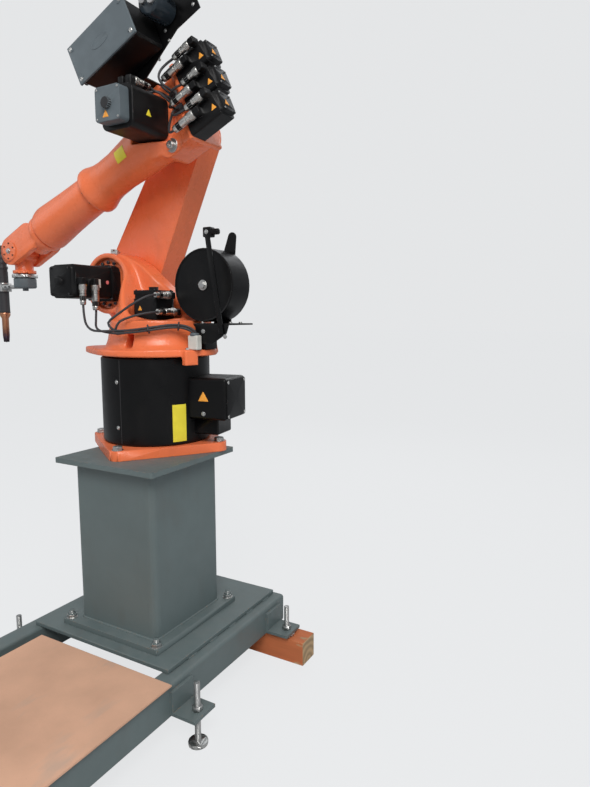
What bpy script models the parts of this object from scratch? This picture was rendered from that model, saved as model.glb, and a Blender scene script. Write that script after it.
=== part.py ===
"""Industrial robot arm with a welding torch, on a box pedestal and a skid frame.

Run it with blender --background --python part.py, or from Blender's text editor.
Lengths are metres, angles are degrees and +Z is up. The origin is under the rear timber, on the
centre line of the skid. +X is the way the arm reaches, and +Y runs along the rails to the front of
the skid, on the side of the motors of axes 2 and 3.
"""

import math

import bmesh
import bpy
from mathutils import Matrix, Vector

# Clearances and overruns
GAP = 0.0003
RUNNING_GAP = 0.005
OVERRUN = 0.02
MERGE = 0.0001

# Skid frame and what it stands on
TIMBER_SIDE = 0.100
TIMBER_LENGTH = 1.12
SKID_WIDTH = 0.780
SKID_REAR_Y = -0.080
RAIL_LENGTH = 1.600
RAIL_WIDTH = 0.080
RAIL_HEIGHT = 0.120
RAIL_CORNER = 0.012
CROSS_MEMBER_WIDTH = 0.080
CROSS_MEMBER_HEIGHT = 0.100
CROSS_MEMBER_INSET = 0.020
DECK_WIDTH = 0.690
DECK_LENGTH = 0.700
DECK_THICKNESS = 0.017
DECK_REAR_Y = -0.070
BOARD_WIDTH = 0.650
BOARD_LENGTH = 0.620
BOARD_THICKNESS = 0.006
BOARD_REAR_Y = 0.675
BOARD_OVERHANG = 0.010

# Jacks on the outer sides of the rails
JACK_REACH = 0.072
JACK_PLATE = 0.012
JACK_PLATE_LENGTH = 0.110
JACK_PLATE_DEPTH = 0.105
JACK_FLANGE_HEIGHT = 0.085
JACK_REAR_Y = 0.015
JACK_FRONT_Y = 0.620
JACK_ROD_RADIUS = 0.010
JACK_ROD_TOP = 0.225
JACK_HOLE_CLEARANCE = 0.001
JACK_NUT_RADIUS = 0.019
JACK_NUT_HEIGHT = 0.016
JACK_FOOT_RADIUS = 0.034
JACK_FOOT_HEIGHT = 0.012
JACK_BORE_SEGMENTS = 16

# Pedestal
PEDESTAL_X = -0.010
PEDESTAL_Y = 0.340
PEDESTAL_PLATE_SIDE = 0.490
PEDESTAL_PLATE_THICKNESS = 0.020
PEDESTAL_PLATE_CORNER = 0.006
PEDESTAL_COLUMN_SIDE = 0.395
PEDESTAL_COLUMN_CORNER = 0.030
PEDESTAL_COLUMN_HEIGHT = 0.633
PEDESTAL_BOLT_INSET = 0.024
PEDESTAL_BOLT_RADIUS = 0.010
PEDESTAL_NUT_RADIUS = 0.017
PEDESTAL_NUT_HEIGHT = 0.016
PEDESTAL_BOLT_STAND = 0.030

# Robot foot and base drum; axis 1 stands at ROBOT_X, ROBOT_Y
ROBOT_X = 0.040
ROBOT_Y = 0.220
BASE_YAW = 10.0
FOOT_RADIUS = 0.235
FOOT_LOBE_RADIUS = 0.040
FOOT_LOBE_CENTRE = 0.270
FOOT_THICKNESS = 0.037
FOOT_BOLT_CIRCLE = 0.282
FOOT_BOLT_HEAD_RADIUS = 0.016
FOOT_BOLT_HEAD_HEIGHT = 0.013
DRUM_RADIUS = 0.218
DRUM_HEIGHT = 0.343
DRUM_CHAMFER = 0.008
AXIS_1_DISC_RADIUS = 0.150
BOX_REACH = 0.360
BOX_INNER_REACH = 0.150
BOX_HALF_WIDTH = 0.090
BOX_LOW = 0.135
BOX_HIGH = 0.300
BOX_CORNER = 0.012
BOX_CHIN_REACH = 0.310
BOX_CHIN_HALF_WIDTH = 0.060
BOX_CHIN_LOW = 0.072

# Rotating column
FLANGE_THICKNESS = 0.025
FLANGE_RADIUS = 0.240
FLANGE_FRONT_CENTRE = 0.262
FLANGE_FRONT_RADIUS = 0.100
FLANGE_REAR_CENTRE = 0.200
FLANGE_REAR_RADIUS = 0.088
FLANGE_CHAMFER = 0.005
STOP_LUG_AZIMUTH = 161.0
STOP_LUG_RADIUS = 0.246
STOP_LUG_DEPTH = 0.032
STOP_LUG_WIDTH = 0.056
STOP_LUG_DROP = 0.034
AXIS_2_X = 0.260
AXIS_2_Z = 0.675
HOUSING_RADIUS = 0.128
HOUSING_FACE_Y = 0.006
HOUSING_FAR_Y = -0.125
HOUSING_RECESS_RADIUS = 0.106
HOUSING_RECESS_DEPTH = 0.022
HOUSING_BOLT_CIRCLE = 0.090
HOUSING_BOLT_RADIUS = 0.0055
HOUSING_BOLT_HEIGHT = 0.006
HOUSING_BOLT_GROUP_ANGLES = (-22.0, 0.0, 22.0)
WEB_NEAR_Y = -0.045
WEB_TOP_SHARE = 0.94
BOWL_HEIGHT = 0.110
BOWL_TOP_RADIUS = 0.205
BOWL_FOOT_RADIUS = 0.236
FLARE_HEIGHT = 0.060
SHOULDER_NEAR_Y = 0.215
SHOULDER_FRONT_X = 0.185
SHOULDER_FRONT_RADIUS = 0.118
SHOULDER_TOP_X = 0.120
SHOULDER_TOP_Y = -0.050
SHOULDER_TOP_SHARE = 0.30
SHOULDER_TOP_Z = 0.840
POCKET_LENGTH = 0.200
POCKET_WIDTH = 0.260
POCKET_CORNER = 0.095
POCKET_CENTRE_X = -0.020
POCKET_CENTRE_Y = 0.072
POCKET_FLOOR = 0.040
SLOT_WIDTH = 0.030
SLOT_HEIGHT = 0.050
SLOT_DEPTH = 0.030
SLOT_AZIMUTH = 62.0
CASTING_ROUNDING = 0.008
AXIS_2_DISC_RADIUS = 0.075

# Motor of axis 1, upright in the pocket
MOTOR_1_X = -0.030
MOTOR_1_Y = 0.035
MOTOR_1_SIDE = 0.118
MOTOR_1_HEIGHT = 0.188
MOTOR_1_CAP_HEIGHT = 0.016
MOTOR_1_CAP_SIDE = 0.112
MOTOR_CORNER = 0.014
KNOB_RADIUS = 0.019
KNOB_HEIGHT = 0.014

# Motor of axis 2, along +Y
MOTOR_2_X = 0.274
MOTOR_2_SIDE = 0.132
MOTOR_2_FLANGE_SIDE = 0.150
MOTOR_2_FLANGE_LENGTH = 0.022
MOTOR_2_BODY_LENGTH = 0.185
MOTOR_2_COVER_LENGTH = 0.022
MOTOR_2_COVER_SIDE = 0.118

# Plugs on the motors: an elbow out of the motor's side, then a sleeve along it
ELBOW_SIDE = 0.026
ELBOW_LENGTH = 0.036
ELBOW_ROOT = 0.005
PLUG_STAND = 0.020
SIGNAL_SLEEVE_RADIUS = 0.0125
SIGNAL_SLEEVE_LENGTH = 0.080
POWER_SLEEVE_RADIUS = 0.0145
POWER_SLEEVE_LENGTH = 0.100
SLEEVE_ROOT = 0.004
SLEEVE_COLLAR_SHARE = 0.84
SLEEVE_COLLAR_LENGTH = 0.016
MOTOR_1_SIGNAL_YZ = (0.020, 0.168)
MOTOR_1_POWER_YZ = (-0.010, 0.103)
MOTOR_2_PLUG_SPACING = 0.064
MOTOR_3_PLUG_Y = 0.215
MOTOR_3_SIGNAL_X = -0.045
MOTOR_3_POWER_X = -0.008
WRIST_PLUG_SIGNAL_X = -0.291
WRIST_PLUG_POWER_X = -0.238
WRIST_PLUG_SIGNAL_RISE = 0.038
WRIST_PLUG_POWER_RISE = 0.002

# Leads, held from plug to gland
LEAD_RADIUS = 0.0045
LEAD_SIDES_LEVEL = 2
LEAD_STUB = 0.008
CLIP_WIDTH = 0.006
CLIP_SIDE = 0.026
CLIP_SHARES = (0.38, 0.66)
GLAND_PLATE_THICKNESS = 0.006
GLAND_PLATE_CORNER = 0.006
GLAND_PLATE_X = (-0.140, -0.0975)
GLAND_PLATE_Z = (-0.036, 0.048)

# Wire reel behind the column
REEL_X = -0.265
REEL_Z = 0.655
REEL_RADIUS = 0.140
REEL_FACE_Y = 0.020
REEL_DEPTH = 0.115
REEL_RIM = 0.008
REEL_RIM_DEPTH = 0.010
REEL_AXLE_RADIUS = 0.012
REEL_AXLE_STAND = 0.010
REEL_SHEET = 0.006
REEL_BRACKET_REAR_X = -0.410
REEL_BRACKET_FRONT_X = -0.242
REEL_BRACKET_HEIGHT = 0.075
REEL_FOOT_LENGTH = 0.050
REEL_UPRIGHT_WIDTH = 0.070
GUIDE_BAR_WIDTH = 0.020
GUIDE_BAR_THICKNESS = 0.006
GUIDE_FOOT_X = -0.388
GUIDE_HEAD_X = -0.318
GUIDE_HEAD_Z = 0.845
GUIDE_HEAD_SIDE = 0.036
GUIDE_HEAD_LENGTH = 0.050
GUIDE_ROLLER_RADIUS = 0.011
GUIDE_ROLLER_LENGTH = 0.046
TERMINAL_SIDE = 0.045
TERMINAL_DEPTH = 0.030
TERMINAL_HEIGHT = 0.055

# Link arm between axes 2 and 3
LINK_LENGTH = 0.680
LINK_LEAN = -29.08
LINK_INNER_Y = -0.130
LINK_THICKNESS = 0.118
LINK_FOOT_RADIUS = 0.150
LINK_HEAD_RADIUS = 0.098
LINK_WAIST_RADIUS = 0.096
LINK_WAIST_SHARE = 0.46
LINK_CHAMFER = 0.016
LINK_RECESS_DEPTH = 0.022
LINK_RECESS_FOOT_SHARE = 0.36
LINK_RECESS_HEAD_SHARE = 0.78
LINK_RECESS_FOOT_RADIUS = 0.068
LINK_RECESS_HEAD_RADIUS = 0.048
LINK_BOSS_RADIUS = 0.017
LINK_BOSS_STAND = 0.0035
LINK_BOSS_FORWARD = 0.098
LINK_BOSS_RISE = 0.120
LINK_CAP_RADIUS = 0.104
LINK_CAP_THICKNESS = 0.020
LINK_CAP_CHAMFER = 0.006

# Arm on axis 3
ARM_DIP = 24.66
WRIST_DROP = 0.035
ARM_FAR_Y = -0.125
ARM_NEAR_Y = 0.040
ARM_HUB_RADIUS = 0.112
ARM_BLOCK_LENGTH = 0.170
ARM_BLOCK_TOP = 0.105
ARM_BLOCK_BOTTOM = -0.150
ARM_BLOCK_FAR_Y = -0.095
ARM_BLOCK_CORNER = 0.030
ARM_PLATE_THICKNESS = 0.022
ARM_PLATE_TOP = 0.135
ARM_PLATE_BOTTOM = -0.188
ARM_PLATE_NEAR_Y = 0.056
ARM_PLATE_STEP_Z = -0.092
ARM_PLATE_STEP = 0.054
ARM_PLATE_FAR_Y = -0.070
AXIS_3_DISC_RADIUS = 0.062
FOREARM_ROOT_X = 0.030
FOREARM_ROOT_RADIUS = 0.092
FOREARM_NECK_X = 0.260
FOREARM_NECK_RADIUS = 0.078
FOREARM_RIM_X = 0.405
FOREARM_RIM_RADIUS = 0.093
FOREARM_RIM_LENGTH = 0.022
HUB_BOLT_RADIUS = 0.018
HUB_BOLT_STAND = 0.010
HUB_BOLT_X = 0.040
HUB_BOLT_Z = -0.070
TUBE_RADIUS = 0.080
TUBE_END_RADIUS = 0.087
TUBE_END_LENGTH = 0.040
TUBE_RIDGE_WIDTH = 0.040
TUBE_RIDGE_HEIGHT = 0.012
SEAM_X = 0.770
AXIS_4_DISC_RADIUS = 0.050

# Motor of axis 3, along +Y
MOTOR_3_SIDE = 0.150
MOTOR_3_BODY_LENGTH = 0.188
MOTOR_3_COVER_LENGTH = 0.044
MOTOR_3_COVER_SIDE = 0.118
MOTOR_3_TURN = -24.66
MOTOR_3_FLANGE_RADIUS = 0.096
MOTOR_3_FLANGE_LENGTH = 0.012

# Motors of the wrist, along the back of the arm
WRIST_MOTOR_SIDE = 0.088
WRIST_MOTOR_LENGTH = 0.140
WRIST_MOTOR_CAP_SIDE = 0.074
WRIST_MOTOR_CAP_LENGTH = 0.016
WRIST_MOTOR_UPPER_YZ = (0.016, 0.084)
WRIST_MOTOR_MIDDLE_YZ = (0.026, -0.024)
WRIST_MOTOR_LOWER_YZ = (0.072, -0.142)

# Wire feeder over the arm
FEEDER_PLATE_NEAR_Y = 0.094
FEEDER_PLATE_THICKNESS = 0.006
FEEDER_PLATE_REAR_X = -0.375
FEEDER_PLATE_FRONT_X = 0.070
FEEDER_PLATE_HIGH_Z = 0.345
FEEDER_PLATE_NOTCH_X = -0.260
FEEDER_PLATE_NOTCH_Z = 0.190
FEEDER_FOOT_WIDTH = 0.110
FEEDER_FOOT_LENGTH = 0.130
FEEDER_PAD_HEIGHT = 0.016
FEEDER_REAR_X = -0.185
FEEDER_FRONT_X = 0.105
FEEDER_LOW_Z = 0.165
FEEDER_HIGH_Z = 0.305
FEEDER_NEAR_Y = 0.238
FEEDER_CORNER = 0.008
COVER_THICKNESS = 0.010
COVER_OVERLAP = 0.006
COVER_SCREW_RADIUS = 0.006
COVER_SCREW_INSET = 0.016
DRIVE_RADIUS = 0.046
DRIVE_LENGTH = 0.100
DRIVE_X = -0.248
DRIVE_Z = 0.262
INLET_RADIUS = 0.014
INLET_LENGTH = 0.050
OUTLET_RADIUS = 0.017
OUTLET_LENGTH = 0.045

# Wrist, hand and tool
WRIST_REACH = 0.200
WRIST_RADIUS = 0.070
WRIST_COLLAR_RADIUS = 0.084
WRIST_COLLAR_LENGTH = 0.026
FORK_ROOT = 0.105
FORK_GAP = 0.092
FORK_CHEEK = 0.026
FORK_RADIUS = 0.062
AXIS_5_DISC_RADIUS = 0.034
AXIS_5_CAP_RADIUS = 0.044
AXIS_5_CAP_THICKNESS = 0.006
BEND = 65.34
HAND_HUB_RADIUS = 0.056
HAND_NECK_RADIUS = 0.040
HAND_LENGTH = 0.098
AXIS_6_DISC_RADIUS = 0.028
FLANGE_DISC_RADIUS = 0.056
FLANGE_DISC_THICKNESS = 0.014
TOOL_BLOCK_RADIUS = 0.052
TOOL_BLOCK_HEIGHT = 0.048
TOOL_BLOCK_CHAMFER = 0.006
TOOL_BOLT_RADIUS = 0.014
TOOL_BOLT_HEIGHT = 0.012
TORCH_OFFSET = 0.164
TORCH_BRACKET_WIDTH = 0.050
TORCH_BRACKET_HEIGHT = 0.016
TORCH_CLAMP_RADIUS = 0.036
TORCH_CLAMP_HEIGHT = 0.040
TORCH_TOP = -0.040
TORCH_BOOT_RADIUS = 0.027
TORCH_BOOT_TIP_RADIUS = 0.018
TORCH_BOOT_RIBS = 5
TORCH_RIB_DEPTH_SHARE = 0.14
TORCH_BODY_RADIUS = 0.024
TORCH_BODY_END = 0.275
TORCH_NOZZLE_RADIUS = 0.0155
TORCH_NOZZLE_TIP_RADIUS = 0.0125
TORCH_TIP = 0.420

# Round pieces
FINE_STEPS = 40
MEDIUM_STEPS = 28
SMALL_STEPS = 14
HEX_STEPS = 6
OCTAGON_STEPS = 8
HALF_TURN = 180.0
ARC_STEPS = 20
FLARE_STEPS = 4
CORNER_STEPS = 4

# Heights that follow from the stack below the robot
RAIL_LOW = TIMBER_SIDE
RAIL_TOP = RAIL_LOW + RAIL_HEIGHT
DECK_TOP = RAIL_TOP + DECK_THICKNESS
BASE_PLATE_TOP = DECK_TOP + PEDESTAL_PLATE_THICKNESS
COLUMN_TOP = BASE_PLATE_TOP + PEDESTAL_COLUMN_HEIGHT
ROBOT_FLOOR = COLUMN_TOP + PEDESTAL_PLATE_THICKNESS
DRUM_TOP = FOOT_THICKNESS + DRUM_HEIGHT
FLANGE_LOW = DRUM_TOP + RUNNING_GAP
FLANGE_TOP = FLANGE_LOW + FLANGE_THICKNESS
POCKET_BASE = FLANGE_TOP + POCKET_FLOOR

COLOURS = {
    "orange paint": ((0.83, 0.16, 0.03), 0.40, 0.0),
    "black paint": ((0.018, 0.018, 0.020), 0.45, 0.0),
    "grey green paint": ((0.17, 0.20, 0.19), 0.55, 0.0),
    "grey cover": ((0.16, 0.19, 0.20), 0.45, 0.0),
    "steel": ((0.52, 0.52, 0.50), 0.35, 0.9),
    "rubber": ((0.03, 0.03, 0.03), 0.75, 0.0),
    "copper": ((0.50, 0.22, 0.12), 0.40, 0.9),
    "timber": ((0.55, 0.22, 0.08), 0.80, 0.0),
    "peach board": ((0.72, 0.42, 0.28), 0.80, 0.0),
    "white plastic": ((0.62, 0.62, 0.58), 0.50, 0.0),
}


def clear_scene():
    """Remove every object of the open file."""
    for item in list(bpy.data.objects):
        bpy.data.objects.remove(item)


def collection(name):
    """Make a collection in the scene."""
    made = bpy.data.collections.new(name)
    bpy.context.scene.collection.children.link(made)
    return made


clear_scene()
PARTS = collection("industrial_robot_arm")
SHAPES = collection("working_shapes")


def material(name):
    """Return the material of one finish, made on first use."""
    found = bpy.data.materials.get(name)
    if found:
        return found
    made = bpy.data.materials.new(name)
    made.use_nodes = True
    colour, roughness, metallic = COLOURS[name]
    shader = made.node_tree.nodes["Principled BSDF"]
    shader.inputs["Base Color"].default_value = (*colour, 1.0)
    shader.inputs["Roughness"].default_value = roughness
    shader.inputs["Metallic"].default_value = metallic
    made.diffuse_color = (*colour, 1.0)
    return made


def frame(name, parent=None, location=(0, 0, 0), rotation=(0, 0, 0)):
    """Make an empty that carries a sub-assembly; rotation is in degrees."""
    empty = bpy.data.objects.new(name, None)
    PARTS.objects.link(empty)
    empty.parent = parent
    empty.location = location
    empty.rotation_euler = [math.radians(angle) for angle in rotation]
    return empty


def shape_from(bm, name="shape"):
    """Turn a bmesh into an object among the working shapes."""
    mesh = bpy.data.meshes.new(name)
    bm.to_mesh(mesh)
    bm.free()
    made = bpy.data.objects.new(name, mesh)
    SHAPES.objects.link(made)
    return made


def settle(shape):
    """Replace an object's mesh by what its modifiers make of it."""
    bpy.context.view_layer.update()
    evaluated = shape.evaluated_get(bpy.context.evaluated_depsgraph_get())
    mesh = bpy.data.meshes.new_from_object(evaluated)
    shape.modifiers.clear()
    shape.data = mesh
    return shape


def moved(shape, x=0, y=0, z=0):
    """Shift a working shape's mesh."""
    shape.data.transform(Matrix.Translation((x, y, z)))
    return shape


def turned_about(shape, axis, degrees):
    """Turn a working shape's mesh about an axis through the origin."""
    shape.data.transform(Matrix.Rotation(math.radians(degrees), 4, axis))
    return shape


def block(x_span, y_span, z_span, rounding=0, segments=2):
    """A box between three pairs of limits, with rounded edges if asked."""
    bm = bmesh.new()
    bmesh.ops.create_cube(bm, size=1)
    low = Vector((x_span[0], y_span[0], z_span[0]))
    high = Vector((x_span[1], y_span[1], z_span[1]))
    bmesh.ops.scale(bm, vec=high - low, verts=bm.verts)
    bmesh.ops.translate(bm, vec=(high + low) / 2, verts=bm.verts)
    made = shape_from(bm)
    return rounded(made, rounding, segments) if rounding else made


def rounded(shape, width, segments=2):
    """Round the sharp edges of a shape."""
    modifier = shape.modifiers.new("Rounding", "BEVEL")
    modifier.width = width
    modifier.segments = segments
    modifier.limit_method = "ANGLE"
    modifier.angle_limit = math.radians(40)
    modifier.use_clamp_overlap = True
    return settle(shape)


def rod(axis, span, radius, centre=(0, 0), steps=MEDIUM_STEPS, end_radius=None):
    """A cylinder or cone along X, Y or Z; centre gives the other two coordinates in order."""
    bm = bmesh.new()
    length = span[1] - span[0]
    last = radius if end_radius is None else end_radius
    bmesh.ops.create_cone(bm, cap_ends=True, segments=steps, radius1=radius, radius2=last, depth=length)
    made = shape_from(bm)
    middle = (span[0] + span[1]) / 2
    if axis == "X":
        turned_about(made, "Y", 90)
        return moved(made, middle, centre[0], centre[1])
    if axis == "Y":
        turned_about(made, "X", -90)
        return moved(made, centre[0], middle, centre[1])
    return moved(made, centre[0], centre[1], middle)


def turning(profile, steps=FINE_STEPS):
    """Turn a profile of (radius, height) points about Z; it runs from the top down the outside."""
    mesh = bpy.data.meshes.new("profile")
    points = [(radius, 0, height) for radius, height in profile]
    mesh.from_pydata(points, [(i, i + 1) for i in range(len(points) - 1)], [])
    made = bpy.data.objects.new("turning", mesh)
    SHAPES.objects.link(made)
    screw = made.modifiers.new("Turning", "SCREW")
    screw.axis = "Z"
    screw.steps = steps
    screw.render_steps = steps
    screw.use_merge_vertices = True
    screw.merge_threshold = MERGE
    return settle(made)


def along_x(shape):
    """Lay a turning along X: what was its top faces +X."""
    return turned_about(shape, "Y", 90)


def along_minus_y(shape):
    """Lay a turning along Y: what was its top faces -Y."""
    return turned_about(shape, "X", 90)


def plate(outline, span, normal="Z"):
    """Extrude a closed flat outline. Its points are XY, XZ or YZ pairs for the normal Z, Y or X."""
    curve = bpy.data.curves.new("outline", "CURVE")
    curve.dimensions = "2D"
    curve.fill_mode = "BOTH"
    curve.extrude = (span[1] - span[0]) / 2
    spline = curve.splines.new("POLY")
    spline.points.add(len(outline) - 1)
    for point, (u, v) in zip(spline.points, outline):
        point.co = (u, v, 0, 1)
    spline.use_cyclic_u = True
    made = bpy.data.objects.new("outline", curve)
    SHAPES.objects.link(made)
    bpy.context.view_layer.update()
    evaluated = made.evaluated_get(bpy.context.evaluated_depsgraph_get())
    bm = bmesh.new()
    bm.from_mesh(bpy.data.meshes.new_from_object(evaluated))
    bpy.data.objects.remove(made)
    bmesh.ops.remove_doubles(bm, verts=bm.verts, dist=MERGE)
    middle = (span[0] + span[1]) / 2
    if normal == "Y":
        bm.transform(Matrix.Rotation(math.radians(90), 4, "X"))
        bm.transform(Matrix.Translation((0, middle, 0)))
    elif normal == "X":
        bm.transform(Matrix(((0, 0, 1, middle), (1, 0, 0, 0), (0, 1, 0, 0), (0, 0, 0, 1))))
    else:
        bm.transform(Matrix.Translation((0, 0, middle)))
    return shape_from(outward(bm))


def outward(bm):
    """Turn every face of a closed mesh outwards."""
    bmesh.ops.recalc_face_normals(bm, faces=bm.faces)
    if bm.calc_volume(signed=True) < 0:
        bmesh.ops.reverse_faces(bm, faces=bm.faces)
    return bm


def arc(centre, radius, start, end, steps):
    """Points of an arc, its ends included; angles are in degrees."""
    turns = [math.radians(start + (end - start) * i / steps) for i in range(steps + 1)]
    return [(centre[0] + radius * math.cos(a), centre[1] + radius * math.sin(a)) for a in turns]


def rounded_rectangle(u_span, v_span, radius, steps=CORNER_STEPS):
    """Outline of a rectangle with round corners."""
    corners = ((u_span[1], v_span[1], 0), (u_span[0], v_span[1], 90),
               (u_span[0], v_span[0], 180), (u_span[1], v_span[0], 270))
    middle_u = sum(u_span) / 2
    middle_v = sum(v_span) / 2
    points = []
    for u, v, start in corners:
        centre = (u - math.copysign(radius, u - middle_u), v - math.copysign(radius, v - middle_v))
        points += arc(centre, radius, start, start + 90, steps)
    return points


def belt(circles, steps=ARC_STEPS):
    """Outline of a belt drawn round circles of (u, v, radius): their convex hull."""
    cloud = sorted(p for u, v, r in circles for p in arc((u, v), r, 0, 360 - 360 / steps, steps - 1))
    outline = []
    for run in (cloud, cloud[::-1]):
        side = []
        for point in run:
            while len(side) > 1 and turn_of(side[-2], side[-1], point) <= MERGE ** 2:
                side.pop()
            side.append(point)
        outline += side[:-1]
    return outline


def turn_of(a, b, c):
    """Twice the signed area of the triangle a, b, c."""
    return (b[0] - a[0]) * (c[1] - a[1]) - (b[1] - a[1]) * (c[0] - a[0])


def combine(target, tool, operation):
    """Apply one exact boolean and remove the tool shape."""
    modifier = target.modifiers.new("Boolean", "BOOLEAN")
    modifier.operation = operation
    modifier.solver = "EXACT"
    modifier.object = tool
    settle(target)
    bpy.data.objects.remove(tool)
    return welded(target)


def welded(shape):
    """Merge the points that a boolean leaves on top of each other."""
    bm = bmesh.new()
    bm.from_mesh(shape.data)
    bmesh.ops.remove_doubles(bm, verts=bm.verts, dist=MERGE / 10)
    bmesh.ops.dissolve_degenerate(bm, edges=bm.edges, dist=MERGE / 10)
    bm.to_mesh(shape.data)
    bm.free()
    return shape


def union(target, *others):
    """Join shapes into one body."""
    for other in others:
        combine(target, other, "UNION")
    return target


def cut(target, *tools):
    """Cut shapes away from a body."""
    for tool in tools:
        combine(target, tool, "DIFFERENCE")
    return target


def common(target, tool):
    """Keep what two shapes share."""
    return combine(target, tool, "INTERSECT")


def finish(shape, name, finish_name, parent=None):
    """Make a working shape a named sub-part of the robot."""
    SHAPES.objects.unlink(shape)
    PARTS.objects.link(shape)
    shape.name = name
    shape.data.name = name
    shape.parent = parent
    shape.data.materials.clear()
    shape.data.materials.append(material(finish_name))
    shape.data.shade_smooth()
    shape.data.set_sharp_from_angle(angle=math.radians(35))
    return shape


def smooth_route(points, per_span=3):
    """Points on a smooth curve through a lead's own points."""
    knots = [Vector(p) for p in points]
    knots = [knots[0] * 2 - knots[1], *knots, knots[-1] * 2 - knots[-2]]
    route = []
    for i in range(1, len(knots) - 2):
        a, b, c, d = knots[i - 1:i + 3]
        for step in range(per_span):
            t = step / per_span
            route.append((b * 2 + (c - a) * t + (a * 2 - b * 5 + c * 4 - d) * t ** 2
                          + (b * 3 - a - c * 3 + d) * t ** 3) / 2)
    return route + [knots[-2]]


def flowing(points):
    """Points of a 2D outline on a smooth curve through its corners."""
    return [(place.x, place.y) for place in smooth_route([(x, y, 0) for x, y in points])]


def lead(points):
    """A cable along a smooth route, straight where it leaves its plug and where it ends."""
    route = [Vector(points[0]), *smooth_route(points[1:-1]), Vector(points[-1])]
    curve = bpy.data.curves.new("lead", "CURVE")
    curve.dimensions = "3D"
    curve.bevel_depth = LEAD_RADIUS
    curve.bevel_resolution = LEAD_SIDES_LEVEL
    curve.use_fill_caps = True
    spline = curve.splines.new("POLY")
    spline.points.add(len(route) - 1)
    for point, place in zip(spline.points, route):
        point.co = (*place, 1)
    made = bpy.data.objects.new("lead", curve)
    SHAPES.objects.link(made)
    bpy.context.view_layer.update()
    bm = bmesh.new()
    bm.from_mesh(bpy.data.meshes.new_from_object(made.evaluated_get(bpy.context.evaluated_depsgraph_get())))
    bpy.data.objects.remove(made)
    bmesh.ops.remove_doubles(bm, verts=bm.verts, dist=MERGE)
    return shape_from(outward(bm))


def strands(points, count):
    """Routes of a bundle's strands, which lie side by side around the bundle's centre line."""
    centre = smooth_route(points)
    reach = (LEAD_RADIUS + GAP / 2) / math.sin(math.pi / count)
    ahead = [(b - a).normalized() for a, b in zip(centre, centre[1:])]
    ahead.append(ahead[-1])
    side = ahead[0].cross(Vector((0, 0, 1))).normalized()
    routes = [[] for _ in range(count)]
    for i, place in enumerate(centre):
        if i:
            side = ahead[i - 1].rotation_difference(ahead[i]) @ side
        lift = ahead[i].cross(side)
        for k in range(count):
            turn = 2 * math.pi * (k + 1 / 2) / count
            routes[k].append(place + (side * math.cos(turn) + lift * math.sin(turn)) * reach)
    return routes


SIGNAL = (SIGNAL_SLEEVE_RADIUS, SIGNAL_SLEEVE_LENGTH)
POWER = (POWER_SLEEVE_RADIUS, POWER_SLEEVE_LENGTH)


def plug(body, foot, outwards, along, kind):
    """Join a right-angle plug to a motor: foot is on the motor's side, the sleeve runs along."""
    radius, length = kind
    foot = Vector(foot)
    outwards = Vector(outwards)
    along = Vector(along)
    middle = foot + outwards * (ELBOW_LENGTH / 2 - ELBOW_ROOT)
    half = Vector((ELBOW_SIDE / 2,
                   ) * 3) + Vector([abs(c) for c in outwards]) * (ELBOW_LENGTH - ELBOW_SIDE) / 2
    low = middle - half
    high = middle + half
    elbow = block((low.x, high.x), (low.y, high.y), (low.z, high.z), ELBOW_SIDE / 8, 1)
    collar = radius * SLEEVE_COLLAR_SHARE
    sleeve = turning([(0, length), (collar, length), (collar, length - SLEEVE_COLLAR_LENGTH),
                      (radius, length - SLEEVE_COLLAR_LENGTH), (radius, -SLEEVE_ROOT), (0, -SLEEVE_ROOT)],
                     SMALL_STEPS)
    turn = Vector((0, 0, 1)).rotation_difference(along).to_matrix().to_4x4()
    start = foot + outwards * PLUG_STAND + along * ELBOW_SIDE / 2
    sleeve.data.transform(Matrix.Translation(start) @ turn)
    union(body, elbow, sleeve)


def plug_end(foot, outwards, along, kind):
    """The two points on a plug's axis where its lead starts."""
    start = Vector(foot) + Vector(outwards) * PLUG_STAND + Vector(along) * (ELBOW_SIDE / 2 + kind[1] + GAP)
    return [start, start + Vector(along) * LEAD_STUB]


# Skid frame

def timber_bearer():
    """Squared timber under the rear end of both rails."""
    half = TIMBER_LENGTH / 2
    side = TIMBER_SIDE / 2
    beam = block((-half, half), (-side, side), (0, TIMBER_SIDE - GAP), side / 20)
    finish(beam, "timber_bearer", "timber")


def rail(name, outer_side):
    """One box-section rail with its welded jack brackets; outer_side is -1 or 1 along X."""
    outer = outer_side * SKID_WIDTH / 2
    inner = outer - outer_side * RAIL_WIDTH
    section = rounded_rectangle((min(outer, inner), max(outer, inner)), (RAIL_LOW, RAIL_TOP - GAP),
                                RAIL_CORNER)
    body = plate(section, (SKID_REAR_Y, SKID_REAR_Y + RAIL_LENGTH), "Y")
    for centre_y in (JACK_REAR_Y, JACK_FRONT_Y):
        union(body, jack_bracket(outer_side, centre_y))
    finish(body, name, "grey green paint")


def cross_member(name, rear_y):
    """A box-section member between the rails."""
    half = SKID_WIDTH / 2 - RAIL_WIDTH - GAP
    low = RAIL_TOP - CROSS_MEMBER_INSET - CROSS_MEMBER_HEIGHT
    section = rounded_rectangle((rear_y, rear_y + CROSS_MEMBER_WIDTH), (low, low + CROSS_MEMBER_HEIGHT),
                                RAIL_CORNER)
    finish(plate(section, (-half, half), "X"), name, "grey green paint")


def deck():
    """Steel deck plate under the pedestal, and the hardboard sheet on the front of the rails."""
    half = DECK_WIDTH / 2
    sheet = block((-half, half), (DECK_REAR_Y, DECK_REAR_Y + DECK_LENGTH),
                  (RAIL_TOP, DECK_TOP - GAP), DECK_THICKNESS / 8, 1)
    finish(sheet, "deck_plate", "grey green paint")
    board_left = -SKID_WIDTH / 2 - BOARD_OVERHANG
    board = block((board_left, board_left + BOARD_WIDTH), (BOARD_REAR_Y, BOARD_REAR_Y + BOARD_LENGTH),
                  (RAIL_TOP, RAIL_TOP + BOARD_THICKNESS))
    finish(board, "deck_board", "peach board")


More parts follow.
